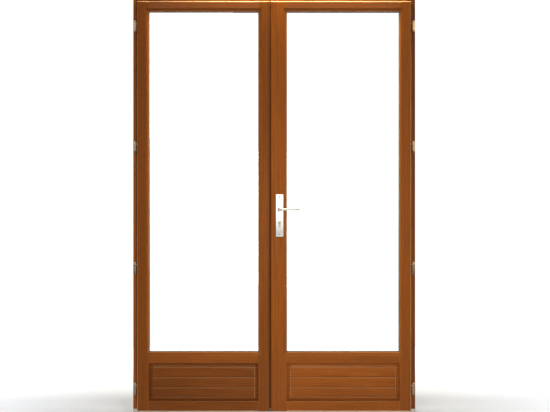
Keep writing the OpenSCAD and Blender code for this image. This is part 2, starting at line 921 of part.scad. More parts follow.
// ---- left leaf: the passive one, with the flush bolts ----

module left_hinge_stile() { mirror([1, 0, 0]) hinge_stile(false); }

module left_meeting_stile() {
    color(wood) mirror([1, 0, 0]) difference() {
        meeting_stile(false);
        stile_cuts(false);
        strike_cut();
        for (top = [false, true]) {
            box([-passive_edge - over, -passive_edge + face_t], plate_y(), plate_z(top));
            box([-passive_edge + face_t - over, flush_x + flush_w + slide],
                [flush_y0 - slide, flush_y0 + flush_w + slide], bolt_way_z(top));
        }
    }
}

function plate_y() = [flush_y0 + flush_w / 2 - flush_plate_w / 2,
    flush_y0 + flush_w / 2 + flush_plate_w / 2];
function plate_z(top) = top ? [body_top - 20 - flush_plate_l, body_top - 20]
    : [body_bottom + 20, body_bottom + 20 + flush_plate_l];
function bolt_way_z(top) = top ? [body_top - flush_l - 2, body_top + over]
    : [body_bottom - over, body_bottom + flush_l + 2];
function bolt_z(top) = top ? [body_top - flush_l, body_top - rod_end]
    : [body_bottom + rod_end, body_bottom + flush_l];
function thumb_at(top) = top ? [bolt_z(true)[0] + 8, bolt_z(true)[0] + 8 + thumb_h]
    : [bolt_z(false)[1] - 8 - thumb_h, bolt_z(false)[1] - 8];
function strike_z() = [cylinder_z - 60, cylinder_z + 60];

module strike_cut() {
    box([-passive_edge - over, -passive_edge + face_t], [lock_front, lock_rear], strike_z());
    strike_hole([-passive_edge, -passive_edge + bolt_travel + 4]);
}

module strike_hole(x) {
    box(x, [bolt_y0 - 1, bolt_y1 + 1],
        [cylinder_z - bolt_h / 2 - 1, cylinder_z + bolt_h / 2 + 1]);
}

module left_top_rail() { mirror([1, 0, 0]) top_rail(false); }
module left_mid_rail() { mirror([1, 0, 0]) mid_rail(false); }
module left_bottom_rail() { mirror([1, 0, 0]) bottom_rail(false); }
module left_panel() { mirror([1, 0, 0]) panel(false); }
module left_top_bead() { mirror([1, 0, 0]) top_bead(false); }
module left_bottom_bead() { mirror([1, 0, 0]) bottom_bead(false); }
module left_side_beads() { mirror([1, 0, 0]) side_beads(false); }
module left_inner_pane() { mirror([1, 0, 0]) pane(false, pane_y - unit_t); }
module left_outer_pane() { mirror([1, 0, 0]) pane(false, pane_y - pane_t); }
module left_spacer() { mirror([1, 0, 0]) spacer(false); }
module left_glazing_tapes() { mirror([1, 0, 0]) glazing_tapes(false); }
module left_setting_blocks() { mirror([1, 0, 0]) setting_blocks(false); }
module left_drip_bar() {
    drip_bar([-stop_x + drip_end, passive_edge + 12 - strip_w - 2]);
}
module left_hinge_cups() { mirror([1, 0, 0]) hinge_cups(); }
module left_hinge_pins() { mirror([1, 0, 0]) hinge_pins(); }

module left_cover_strip() {
    right = active_edge + strip_over;
    x = [right - strip_w, right];
    color(wood) along_z([drip_z - 2, stop_z - 6]) difference() {
        rect(x, [leaf_rear, leaf_rear + strip_d]);
        rect([passive_edge, x[1] + over], [leaf_rear - over, leaf_rear + lip_gap]);
        for (i = [0, 1]) corner([x[i], leaf_rear + strip_d], [2 * i - 1, 1], strip_r);
    }
}

module left_strike_plate() {
    color(steel) mirror([1, 0, 0]) difference() {
        box([-passive_edge, -passive_edge + face_t], [lock_front, lock_rear], strike_z());
        strike_hole([-passive_edge - over, -passive_edge + face_t + over]);
    }
}

module left_bolt_plates() {
    color(steel) mirror([1, 0, 0]) for (top = [false, true]) difference() {
        box([-passive_edge, -passive_edge + face_t], plate_y(), plate_z(top));
        box([-passive_edge - over, -passive_edge + face_t + over],
            [flush_y0 - slide, flush_y0 + flush_w + slide],
            [thumb_at(top)[0] - (top ? 1 : flush_travel + 1),
                thumb_at(top)[1] + (top ? flush_travel + 1 : 1)]);
    }
}

module flush_bolt(top) {
    y = [flush_y0, flush_y0 + flush_w];
    color(steel) mirror([1, 0, 0]) {
        box([flush_x, flush_x + flush_w], y, bolt_z(top));
        box([-passive_edge + slide, flush_x], y, thumb_at(top));
    }
}

module left_top_bolt() { flush_bolt(true); }
module left_bottom_bolt() { flush_bolt(false); }

frame_left_jamb();
frame_right_jamb();
frame_head();
threshold();
frame_seal();
frame_keeps();
left_hinge_pins();
right_hinge_pins();
left_hinge_stile();
left_meeting_stile();
left_top_rail();
left_mid_rail();
left_bottom_rail();
left_panel();
left_top_bead();
left_bottom_bead();
left_side_beads();
left_inner_pane();
left_outer_pane();
left_spacer();
left_glazing_tapes();
left_setting_blocks();
left_drip_bar();
left_cover_strip();
left_strike_plate();
left_bolt_plates();
left_hinge_cups();
left_top_bolt();
left_bottom_bolt();
right_hinge_stile();
right_meeting_stile();
right_top_rail();
right_mid_rail();
right_bottom_rail();
right_panel();
right_top_bead();
right_bottom_bead();
right_side_beads();
right_inner_pane();
right_outer_pane();
right_spacer();
right_glazing_tapes();
right_setting_blocks();
right_drip_bar();
right_hinge_cups();
lock_case();
lock_faceplate();
cylinder_body();
inside_plate();
outside_plate();
plate_screws();
inside_lever();
outside_lever();
spindle();
lock_pinion();
upper_rod();
lower_rod();
deadbolt();
key_plug();
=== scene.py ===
import math

import bmesh
import bpy
from bpy.props import FloatProperty, FloatVectorProperty, IntProperty, PointerProperty
from mathutils import Matrix, Vector


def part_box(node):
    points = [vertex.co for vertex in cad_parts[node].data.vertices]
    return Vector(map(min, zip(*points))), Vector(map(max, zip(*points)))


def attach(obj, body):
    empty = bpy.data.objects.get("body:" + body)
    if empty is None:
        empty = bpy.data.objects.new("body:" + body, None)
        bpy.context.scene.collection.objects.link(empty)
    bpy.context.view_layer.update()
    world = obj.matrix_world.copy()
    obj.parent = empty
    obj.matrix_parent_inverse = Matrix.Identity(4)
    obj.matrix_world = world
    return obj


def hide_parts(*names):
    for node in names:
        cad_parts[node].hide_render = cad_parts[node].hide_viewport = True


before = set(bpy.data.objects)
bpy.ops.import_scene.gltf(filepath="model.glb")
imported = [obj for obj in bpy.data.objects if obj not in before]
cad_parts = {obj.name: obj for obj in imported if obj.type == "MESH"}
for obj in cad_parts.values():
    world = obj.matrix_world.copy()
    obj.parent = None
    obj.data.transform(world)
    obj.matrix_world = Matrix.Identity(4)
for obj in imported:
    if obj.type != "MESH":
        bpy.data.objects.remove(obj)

bl_info = {
    "name": "French doors",
    "version": (1, 0, 0),
    "blender": (4, 5, 0),
    "location": "3D View > Sidebar > Doors",
    "description": "Finishes and fine parts for a pair of glazed wooden doors in their frame",
    "category": "Object",
}

MM = 0.001
TAU = 2 * math.pi
QUARTER = TAU / 4
SIDES = ("left", "right")
# in a CAD mesh, points nearer than ONE_POINT are the same, faces that bend less than FLAT are
# one face, and edges that bend more than SHARP are eased
ONE_POINT = 0.002 * MM
FLAT = math.radians(0.5)
SHARP = math.radians(28)

# ---- sizes read from the frame ----

BARREL_LOW, BARREL_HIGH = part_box("right_hinge_pins")
_, CUP_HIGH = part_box("right_hinge_cups")
PLATE_LOW, PLATE_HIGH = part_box("inside_plate")
OUT_PLATE_LOW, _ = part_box("outside_plate")
SILL_LOW, SILL_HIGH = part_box("threshold")
SEAL_LOW, SEAL_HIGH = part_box("frame_seal")
SPINDLE_LOW, SPINDLE_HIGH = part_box("spindle")
SCREW_LOW, SCREW_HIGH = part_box("plate_screws")
FACE_LOW, FACE_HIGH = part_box("lock_faceplate")
STRIKE_LOW, STRIKE_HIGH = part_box("left_strike_plate")
BOLT_PLATE_LOW, BOLT_PLATE_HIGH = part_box("left_bolt_plates")

AXIS_X = (SPINDLE_LOW.x + SPINDLE_HIGH.x) / 2
AXIS_Z = (SPINDLE_LOW.z + SPINDLE_HIGH.z) / 2
LEAF_FRONT = PLATE_HIGH.y
LEAF_REAR = OUT_PLATE_LOW.y


def colour(name, text, value):
    """A colour property."""
    return FloatVectorProperty(name=name, description=text, default=value, subtype="COLOR",
                               size=3, min=0, max=1)


def length(name, text, value, low=0.0, high=0.1):
    """A length property."""
    return FloatProperty(name=name, description=text, default=value, min=low, max=high,
                         unit="LENGTH", precision=5)


def lamp_power(name, text, value):
    """A property for a lamp's power."""
    return FloatProperty(name=name, description=text, default=value, min=0, unit="POWER")


class DoorSizes(bpy.types.PropertyGroup):
    """Sizes of the fine parts"""

    timber_ease: length("Timber edges", "How much the timber's edges are eased", 0.6 * MM)
    bead_ease: length("Bead edges", "How much the glazing beads' edges are eased", 0.3 * MM)
    metal_ease: length("Metal edges", "How much thin metal edges are eased", 0.25 * MM)
    pin_pitch: length("Bead pins", "Distance between the pins of a glazing bead",
                      210 * MM, 0.05, 1)
    pin_radius: length("Pin radius", "Radius of a filled pin hole", 0.9 * MM)
    rib_pitch: length("Threshold ribs", "Distance between the ribs of the threshold", 5 * MM)
    plate_edge: length("Plate edges", "Rounding of the handle plates", 2.2 * MM)
    ring_depth: length("Hinge rings", "Depth of the rings turned in the hinges", 0.45 * MM)
    turn_steps: IntProperty(name="Turned steps", description="Faces around a turned part",
                            default=32, min=12, max=64)


class DoorColours(bpy.types.PropertyGroup):
    """Colours and finishes"""

    stain: colour("Stain", "Ground colour of the stained timber", (0.300, 0.083, 0.0095))
    late_wood: colour("Late wood", "Colour of the dark part of a growth ring",
                      (0.170, 0.043, 0.0045))
    worn_wood: colour("Worn wood", "Colour of a rubbed timber edge", (0.400, 0.150, 0.035))
    # the colour of the painted highlight on the lips' rounded edges
    painted_highlight_wood: colour("Rounded edges", "Colour of the lips' rounded front edges",
                         (0.80, 0.46, 0.220))
    # painted shade in corners and by the meeting edge; also the dark of glue lines and pin filler
    joint_shade: colour("Joint shade", "Colour in the corners and joints",
                        (0.055, 0.016, 0.004))
    aluminium: colour("Aluminium", "Polished aluminium of the handles", (0.86, 0.85, 0.82))
    sill_metal: colour("Threshold", "Drawn aluminium of the threshold", (0.62, 0.58, 0.53))
    bronze: colour("Bronze", "Plating of the hinges", (0.31, 0.215, 0.148))
    nickel: colour("Nickel", "Lock cylinder and screws", (0.66, 0.63, 0.57))
    zinc: colour("Zinc", "Lock case, rods and keeps", (0.56, 0.57, 0.58))
    spacer: colour("Spacer", "Dark anodised spacer between the panes", (0.25, 0.25, 0.25))
    rubber: colour("Rubber", "Seals and glazing tape", (0.020, 0.018, 0.016))
    block: colour("Blocks", "Setting blocks under the glass", (0.035, 0.035, 0.034))
    glass: colour("Glass", "Tint of the panes", (0.985, 1.0, 0.992))
    floor: colour("Floor", "The pale floor", (0.76, 0.81, 0.90))


class DoorStage(bpy.types.PropertyGroup):
    """Camera and lights"""

    distance: length("Distance", "From the doors' front to the camera", 6.0, 2, 20)
    height: length("Height", "Height of the camera", 1.085, 0.2, 3)
    key_power: lamp_power("Key light", "Power of the main light", 21)
    top_power: lamp_power("Top light", "Power of the light over the head", 36)
    rear_power: lamp_power("Rear light", "Power of the light behind", 26)
    ambient: FloatProperty(name="Ambient", description="Strength of the even light",
                           default=0.18, min=0, max=1, subtype="FACTOR")


def sizes():
    return bpy.context.scene.door_sizes


def colours():
    return bpy.context.scene.door_colours


# ---- shader building ----


class Tree:
    """Adds nodes to a material, a world or a node group, and joins them."""

    def __init__(self, tree):
        self.tree = tree

    def add(self, kind, inputs=None, **settings):
        node = self.tree.nodes.new("ShaderNode" + kind)
        for key, value in settings.items():
            setattr(node, key, value)
        self.join(node, inputs or {})
        return node

    def join(self, node, inputs):
        for key, value in inputs.items():
            self.put(node.inputs[key], value)

    def put(self, socket, value):
        if isinstance(value, bpy.types.NodeSocket):
            self.tree.links.new(value, socket)
        elif socket.type == "RGBA" and len(value) == 3:
            socket.default_value = (*value, 1)
        else:
            socket.default_value = value

    def math(self, operation, a, b=0.0, clamp=False):
        return self.add("Math", {0: a, 1: b}, operation=operation, use_clamp=clamp).outputs[0]

    def product(self, first, *others, clamp=False):
        for other in others:
            first = self.math("MULTIPLY", first, other, clamp)
        return first

    def total(self, first, *others):
        for other in others:
            first = self.math("ADD", first, other)
        return first

    def minus(self, a, b):
        return self.math("SUBTRACT", a, b)

    def span(self, value, low, high, out_low=0.0, out_high=1.0):
        return self.add("MapRange", {"Value": value, "From Min": low, "From Max": high,
                                     "To Min": out_low, "To Max": out_high}).outputs[0]

    def spread(self, noise, low=0.0, high=1.0):
        """Stretches the range that a noise mostly has."""
        return self.span(noise, 0.3, 0.7, low, high)

    def mix(self, factor, a, b, blend="MIX"):
        # the Mix node's colour sockets go by number, because its number sockets share their names
        node = self.add("Mix", {0: factor, 6: a, 7: b}, data_type="RGBA", blend_type=blend)
        return node.outputs[2]

    def dimmed(self, tint, value):
        """A colour times a grey value."""
        grey = self.add("CombineColor", {0: value, 1: value, 2: value}).outputs[0]
        return self.mix(1.0, tint, grey, "MULTIPLY")

    def noise(self, vector, scale, detail=2.0, rough=0.5):
        return self.add("TexNoise", {"Vector": vector, "Scale": scale, "Detail": detail,
                                     "Roughness": rough}).outputs["Fac"]

    def mapped(self, vector, location=(0, 0, 0), rotation=(0, 0, 0), scale=(1, 1, 1)):
        return self.add("Mapping", {"Vector": vector, "Location": location,
                                    "Rotation": rotation, "Scale": scale}).outputs[0]


# the sockets of the node groups that don't hold one number
SOCKETS = {"Position": "NodeSocketVector",
           **dict.fromkeys(("Colour", "Ground", "Late wood", "Worn", "Shade"),
                           "NodeSocketColor")}


def node_group(name, inputs, outputs, build):
    """A shader node group; it is built once and used by name afterwards."""
    found = bpy.data.node_groups.get(name)
    if found:
        return found
    group = bpy.data.node_groups.new(name, "ShaderNodeTree")
    for way, labels in (("INPUT", inputs), ("OUTPUT", outputs)):
        for label in labels:
            group.interface.new_socket(label, in_out=way,
                                       socket_type=SOCKETS.get(label, "NodeSocketFloat"))
    tree = Tree(group)
    source = group.nodes.new("NodeGroupInput").outputs
    results = build(tree, source)
    sink = group.nodes.new("NodeGroupOutput")
    for label, socket in results.items():
        group.links.new(socket, sink.inputs[label])
    return group


def use_group(tree, group, inputs):
    return tree.add("Group", inputs, node_tree=group).outputs


def times(tint, factor):
    """A colour made darker or brighter by a factor."""
    return tuple(v * factor for v in tint)


def timber_grain():
    """Growth rings round a pith outside the board, streaks and pores; grain runs along Z."""

    def build(tree, source):
        position = source["Position"]
        long_grain = tree.mapped(position, scale=(1, 1, 0.05))
        rings = tree.add("TexWave", {
            "Vector": long_grain, "Scale": source["Ring density"], "Distortion": 5.0,
            "Detail": 3.0, "Detail Scale": 1.6, "Detail Roughness": 0.62,
        }, wave_type="RINGS", rings_direction="Z", wave_profile="SIN").outputs["Fac"]
        late = tree.math("POWER", rings, 1.8)
        streak = tree.noise(long_grain, 95.0, 4.0, 0.6)
        fine = tree.noise(long_grain, 520.0, 3.0, 0.6)
        pores = tree.span(tree.noise(tree.mapped(position, scale=(1, 1, 0.035)), 1500.0, 1.0),
                          0.62, 0.74)
        broad = tree.noise(tree.mapped(position, scale=(1, 1, 0.22)), 7.0, 2.0)
        amount = tree.total(tree.product(late, 0.55),
                            tree.product(tree.span(streak, 0.35, 0.68), 0.45))
        amount = tree.product(amount, source["Contrast"], clamp=True)
        tint = tree.mix(amount, source["Ground"], source["Late wood"])
        shine = tree.product(tree.spread(fine, 0.90, 1.10), tree.spread(broad, 0.90, 1.10),
                             tree.minus(1.0, tree.product(pores, 0.26)))
        height = tree.minus(tree.product(fine, 0.35),
                            tree.total(pores, tree.product(late, 0.35)))
        rough = tree.total(tree.spread(broad, -0.04, 0.05), tree.product(pores, 0.2),
                           source["Roughness"])
        return {"Colour": tree.dimmed(tint, shine), "Height": height, "Roughness": rough}

    return node_group("Timber grain", (
        "Position", "Ground", "Late wood", "Ring density", "Contrast", "Roughness",
    ), ("Colour", "Roughness", "Height"), build)


def edge_wear():
    """Lightens the edges, broken up by noise."""

    def build(tree, source):
        soft = tree.add("Bevel", {"Radius": source["Radius"]}, samples=4).outputs[0]
        plain = tree.add("NewGeometry").outputs["Normal"]
        dot = tree.add("VectorMath", {0: soft, 1: plain}, operation="DOT_PRODUCT")
        edge = tree.span(dot.outputs["Value"], 0.995, 0.90)
        spots = tree.span(tree.noise(source["Position"], 60.0, 4.0, 0.65), 0.38, 0.62)
        mask = tree.product(edge, spots, source["Amount"], clamp=True)
        return {"Colour": tree.mix(mask, source["Colour"], source["Worn"])}

    return node_group("Edge wear", ("Position", "Colour", "Worn", "Radius", "Amount"),
                      ("Colour",), build)


def painted_edge_highlight():
    """Paints a highlight on the rounded front edges, stronger where they face up, broken up by
    noise.
    """

    def build(tree, source):
        normal = tree.add("SeparateXYZ", {0: tree.add("TexCoord").outputs["Normal"]}).outputs
        facing = tree.product(normal[1], -1.0)
        mask = tree.product(tree.span(facing, 0.98, 0.85), tree.span(facing, 0.12, 0.4))
        spots = tree.span(tree.noise(tree.mapped(source["Position"], scale=(1, 1, 0.1)), 30.0,
                                     3.0, 0.6), 0.25, 0.6, 0.6, 1.0)
        share = tree.math("MAXIMUM", source["Amount"],
                          tree.product(tree.span(normal[2], 0.2, 0.5), source["Top"]))
        mask = tree.product(mask, spots, share, clamp=True)
        return {"Colour": tree.mix(mask, source["Colour"], source["Worn"])}

    return node_group("Rounded arris", ("Position", "Colour", "Worn", "Amount", "Top"),
                      ("Colour",), build)


def joint_shade():
    """Darkens corners and joints by their occlusion: painted shade, with the stain and dirt that
    gather there.
    """

    def build(tree, source):
        open_air = tree.add("AmbientOcclusion", {"Distance": source["Reach"]}, samples=8)
        mask = tree.product(tree.span(open_air.outputs["AO"], 0.85, 0.25), source["Amount"],
                            clamp=True)
        return {"Colour": tree.mix(mask, source["Colour"], source["Shade"])}

    return node_group("Joint shade", ("Colour", "Shade", "Reach", "Amount"), ("Colour",), build)


def metal_skin():
    """Drawing lines along Z, cloudy tone and small marks."""

    def build(tree, source):
        drawn = tree.mapped(source["Position"], scale=(1, 1, 0.02))
        lines = tree.noise(drawn, source["Line scale"], 3.0, 0.6)
        cloud = tree.noise(source["Position"], 45.0, 3.0, 0.55)
        marks = tree.span(tree.noise(source["Position"], 420.0, 2.0), 0.66, 0.74)
        tone = tree.total(tree.spread(lines, -0.5, 0.5), tree.spread(cloud, -0.6, 0.6))
        tone = tree.total(1.0, tree.product(tone, source["Variation"]))
        tone = tree.minus(tone, tree.product(marks, tree.product(source["Variation"], 1.5)))
        rough = tree.product(tree.spread(cloud, 0.8, 1.25), source["Roughness"])
        rough = tree.total(rough, tree.product(marks, 0.04))
        return {"Colour": tree.dimmed(source["Colour"], tone), "Roughness": rough,
                "Height": tree.minus(lines, marks)}

    return node_group("Metal skin", ("Position", "Colour", "Line scale", "Variation",
                                     "Roughness"), ("Colour", "Roughness", "Height"), build)


def new_material(name, view):
    """An empty material with its Principled shader joined to the output."""
    material = bpy.data.materials.new(name)
    material.use_nodes = True
    material.node_tree.nodes.clear()
    material.diffuse_color = (*view, 1)
    tree = Tree(material.node_tree)
    shader = tree.add("BsdfPrincipled")
    out = tree.add("OutputMaterial", {"Surface": shader.outputs[0]})
    return material, tree, shader, out


def object_position(tree):
    return tree.add("TexCoord").outputs["Object"]


def seen_directly(tree):
    """A mask of what the camera sees, plainly or through glass."""
    path = tree.add("LightPath").outputs
    return tree.math("MAXIMUM", path["Is Camera Ray"], path["Is Transmission Ray"])


def bump(tree, shader, height, depth, strength):
    node = tree.add("Bump", {"Height": height, "Strength": strength, "Distance": depth})
    tree.put(shader.inputs["Normal"], node.outputs[0])


# how a board's grain lies
UPRIGHT = (0, 0, 0)
LYING = (0, -QUARTER, 0)


def timber(name, grain, seed, tone, contrast, rings, tilt, varnish=0.12, arris=0.85, top=0.0,
           dust=0.55, boards=(), edge_shade_span=()):
    """Stained timber of one board. grain is UPRIGHT or LYING, tilt is the pith's lean in
    degrees, arris how strong the painted highlight on its rounded edges is, top
    how strong that highlight is at least where they face up, and dust how dark its
    corners are, painted shade with dirt. boards is the width and the first joint of the strips
    that a panel is glued from; edge_shade_span is where, along X, a painted shade by the
    meeting edge starts and ends."""
    c = colours()
    stain = times(c.stain, tone)
    material, tree, shader, _ = new_material(name, stain)
    place = object_position(tree)
    axes = tree.add("SeparateXYZ", {0: place}).outputs
    if boards:
        pitch, first = boards
        count = tree.math("DIVIDE", tree.minus(axes[2], first), pitch)
        strip = tree.math("FLOOR", count)
        shift = tree.add("CombineXYZ", {0: tree.product(strip, 0.31),
                                        1: tree.product(strip, 0.013), 2: 0.0}).outputs[0]
        place = tree.add("VectorMath", {0: place, 1: shift}, operation="ADD").outputs[0]
    turned = tree.mapped(place, (0.11 + 0.037 * (seed % 5), 0.06 + 0.021 * (seed % 7),
                                 0.83 * seed), grain)
    leaned = tree.mapped(turned, rotation=(math.radians(tilt), math.radians(-1.3 * tilt), 0))
    grown = use_group(tree, timber_grain(), {
        "Position": leaned, "Ground": stain, "Late wood": times(c.late_wood, tone),
        "Ring density": rings, "Contrast": contrast, "Roughness": 0.40})
    worn = use_group(tree, edge_wear(), {
        "Position": turned, "Colour": grown["Colour"],
        "Worn": times(c.worn_wood, tone), "Radius": 1.4 * MM, "Amount": 0.45})
    # painted highlight on the rounded front edges
    highlighted = use_group(tree, painted_edge_highlight(), {
        "Position": turned, "Colour": worn["Colour"],
        "Worn": times(c.painted_highlight_wood, tone), "Amount": arris, "Top": top})
    # painted shade in corners and joints, with dirt
    shaded = use_group(tree, joint_shade(), {
        "Colour": highlighted["Colour"], "Shade": c.joint_shade, "Reach": 9 * MM, "Amount": dust})
    result = shaded["Colour"]
    # painted shade along the meeting edge, darker towards the gap between the leaves
    if edge_shade_span:
        result = tree.mix(tree.span(axes[0], *edge_shade_span, 0.0, 0.62), result, c.joint_shade)
    if boards:
        # a soft dark line where two strips meet, with a painted highlight under it
        off = tree.minus(tree.math("FRACT", tree.total(count, 0.5)), 0.5)
        line = tree.product(tree.span(off, -0.05, 0.0), tree.span(off, 0.11, 0.03))
        broken = tree.span(tree.noise(tree.mapped(place, scale=(1, 1, 30)), 5.0, 3.0), 0.3, 0.6,
                           0.25, 0.55)
        result = tree.mix(tree.product(line, broken), result, c.joint_shade)
        # painted highlight: a pale line under the joint line
        pale = tree.product(tree.span(off, -0.12, -0.08), tree.span(off, -0.03, -0.06))
        result = tree.mix(tree.product(pale, 0.22), result, c.painted_highlight_wood)
    tree.join(shader, {"Base Color": result, "Roughness": grown["Roughness"],
                       "Specular IOR Level": 0.1, "Coat Weight": varnish,
                       "Coat Roughness": 0.28})
    bump(tree, shader, grown["Height"], 0.08 * MM, 0.5)
    return material


# each metal: its colour, roughness, density of drawing lines, change of tone, depth of the
# lines, painted shade with dirt in its corners
METALS = {
    "drawn_threshold": ("sill_metal", 0.38, 700, 0.10, 0.03 * MM, 0.5),
    "plated_bronze": ("bronze", 0.24, 1200, 0.08, 0.01 * MM, 0.6),
    "polished_aluminium": ("aluminium", 0.06, 1500, 0.03, 0.004 * MM, 0.45),
    "polished_lever": ("aluminium", 0.13, 1500, 0.03, 0.004 * MM, 0.45),
    "screw_nickel": ("nickel", 0.25, 900, 0.06, 0.01 * MM, 0.7),
    "satin_nickel": ("nickel", 0.22, 1100, 0.05, 0.01 * MM, 0.6),
    "zinc_plate": ("zinc", 0.34, 600, 0.10, 0.02 * MM, 0.6),
}


def metal(name, rotation=UPRIGHT, worn=None):
    """A metal with drawing lines, marks, and painted shade with dirt in its corners; worn colours
    its edges.
    """
    tint, rough, lines, variation, depth, shade = METALS[name]
    base = getattr(colours(), tint)
    material, tree, shader, _ = new_material(name, base)
    place = tree.mapped(object_position(tree), rotation=rotation)
    skin = use_group(tree, metal_skin(), {
        "Position": place, "Colour": base, "Line scale": lines, "Variation": variation,
        "Roughness": rough})
    result = skin["Colour"]
    if worn:
        result = use_group(tree, edge_wear(), {
            "Position": place, "Colour": result, "Worn": worn, "Radius": 0.8 * MM,
            "Amount": 0.8})["Colour"]
    # painted shade in its corners, with dirt
    result = use_group(tree, joint_shade(), {
        "Colour": result, "Shade": times(base, 0.12), "Reach": 3 * MM, "Amount": shade})["Colour"]
    tree.join(shader, {"Base Color": result, "Roughness": skin["Roughness"], "Metallic": 1.0})
    bump(tree, shader, skin["Height"], depth, 0.4)
    return material


def rubber(name, base, rough=0.62):
    """Matt rubber or plastic with a fine moulded texture."""
    material, tree, shader, _ = new_material(name, base)
    place = object_position(tree)
    cloud = tree.noise(place, 30.0, 3.0)
    speck = tree.noise(place, 1400.0, 2.0)
    dusty = tuple(v * 1.9 + 0.004 for v in base)
    tree.join(shader, {"Base Color": tree.mix(tree.spread(cloud), base, dusty),
                       "Roughness": tree.spread(cloud, rough - 0.08, rough + 0.1)})
    bump(tree, shader, speck, 0.05 * MM, 0.6)
    return material


def pane_glass():
    """Clear float glass; lamps shine through it."""
    tint = colours().glass
    material, tree, shader, out = new_material("clear_glass", tint)
    place = object_position(tree)
    wave = tree.noise(place, 2.6, 2.0)
    smear = tree.noise(tree.mapped(place, scale=(1, 1, 0.4)), 9.0, 4.0, 0.6)
    tree.join(shader, {"Base Color": tint, "Transmission Weight": 1.0, "IOR": 1.5,
                       "Roughness": tree.span(smear, 0.52, 0.75, 0.0, 0.012)})
    bump(tree, shader, wave, 0.05 * MM, 0.3)
    shadow = tree.add("LightPath").outputs["Is Shadow Ray"]
    clear = tree.add("BsdfTransparent", {"Color": tint})
    blend = tree.add("MixShader", {0: shadow, 1: shader.outputs[0], 2: clear.outputs[0]})
    tree.put(out.inputs["Surface"], blend.outputs[0])
    return material


def spacer_bar():
    """Drawn aluminium spacer with its two rows of small holes."""
    base = colours().spacer
    middle, row_offset, hole_pitch = 19 * MM, 4 * MM, 4 * MM
    material, tree, shader, _ = new_material("drawn_spacer", base)
    place = object_position(tree)
    x, y, z = tree.add("SeparateXYZ", {0: place}).outputs
    cell = tree.math("FRACT", tree.math("DIVIDE", tree.total(x, z), hole_pitch))
    along = tree.math("ABSOLUTE", tree.minus(cell, 0.5))
    off_middle = tree.math("ABSOLUTE", tree.total(y, middle))
    across = tree.math("ABSOLUTE", tree.minus(off_middle, row_offset))
    dots = tree.product(tree.span(along, 0.16, 0.12), tree.span(across, 0.6 * MM, 0.4 * MM))
    lines = tree.noise(tree.mapped(place, scale=(1, 40, 1)), 40.0, 2.0)
    ground = tree.mix(tree.spread(lines), base, times(base, 0.8))
    tree.join(shader, {"Base Color": tree.mix(dots, ground, (0.03, 0.03, 0.03)),
                       "Roughness": tree.spread(lines, 0.3, 0.45), "Metallic": 1.0})
    bump(tree, shader, tree.minus(1.0, dots), 0.3 * MM, 0.5)
    return material


# ---- mesh building ----


def give(node, material):
    """Gives a CAD node its finish."""
    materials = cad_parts[node].data.materials
    materials.clear()
    materials.append(material)


def new_object(name, data):
    """An object in the scene."""
    made = bpy.data.objects.new(name, data)
    bpy.context.scene.collection.objects.link(made)
    return made


def new_mesh(name, bm, material):
    """A mesh from bm, with its material; bm is used up."""
    mesh = bpy.data.meshes.new(name)
    bm.to_mesh(mesh)
    bm.free()
    mesh.materials.append(material)
    return mesh


def add_piece(name, bm, body, material, nodes=(), smooth=32):
    """Makes a piece from bm, with its finish and the CAD body that it rides on."""
    bmesh.ops.recalc_face_normals(bm, faces=bm.faces)
    mesh = new_mesh(name, bm, material)
    piece = new_object(name, mesh)
    mesh.shade_smooth()
    mesh.set_sharp_from_angle(angle=math.radians(smooth))
    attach(piece, body)
    if nodes:
        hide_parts(*nodes)
    return piece


def bevel(bm, edges, offset, segments):
    bmesh.ops.bevel(bm, geom=edges, offset=offset, offset_type="OFFSET", segments=segments,
                    profile=0.5, affect="EDGES", material=-1, clamp_overlap=True)


def merged_copy(node):
    """A clean copy of a CAD node's mesh: merged, with its flat faces joined."""
    bm = bmesh.new()
    bm.from_mesh(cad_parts[node].data)
    bmesh.ops.remove_doubles(bm, verts=bm.verts, dist=ONE_POINT)
    bmesh.ops.dissolve_limit(bm, angle_limit=FLAT, verts=bm.verts, edges=bm.edges,
                             use_dissolve_boundaries=False)
    return bm


def ease_edges(node, width):
    """Eases the sharp edges of a CAD node with modifiers; its mesh stays as it is."""
    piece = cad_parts[node]
    weld = piece.modifiers.new("Weld", "WELD")
    weld.merge_threshold = ONE_POINT
    flat = piece.modifiers.new("Flat faces", "DECIMATE")
    flat.decimate_type = "DISSOLVE"
    flat.angle_limit = FLAT
    ease = piece.modifiers.new("Eased edges", "BEVEL")
    ease.width = width
    ease.segments = 2
    ease.limit_method = "ANGLE"
    ease.angle_limit = SHARP
    ease.use_clamp_overlap = True
    ease.harden_normals = True


def fresh_verts(bm, before):
    return [v for v in bm.verts if v not in before]


def seat(bm, before, centre, axis):
    """Turns what was added since before from Z onto axis, and moves it to centre."""
    angle, about = {"Z": (0, "X"), "Y": (-QUARTER, "X"), "-Y": (QUARTER, "X"),
                    "X": (QUARTER, "Y"), "-X": (-QUARTER, "Y")}[axis]
    bmesh.ops.transform(bm, verts=fresh_verts(bm, before),
                        matrix=Matrix.Translation(centre) @ Matrix.Rotation(angle, 4, about))


def lathe(bm, points, centre, axis="Z", steps=None):
    """Turns a profile of (radius, height) about an axis through centre."""
    before = set(bm.verts)
    verts = [bm.verts.new((r, 0, h)) for r, h in points]
    edges = [bm.edges.new(pair) for pair in zip(verts, verts[1:])]
    bmesh.ops.spin(bm, geom=verts + edges, cent=(0, 0, 0), axis=(0, 0, 1), angle=TAU,
                   steps=steps or sizes().turn_steps, use_merge=True, use_duplicate=False)
    bmesh.ops.remove_doubles(bm, verts=fresh_verts(bm, before), dist=ONE_POINT / 2)
    seat(bm, before, centre, axis)


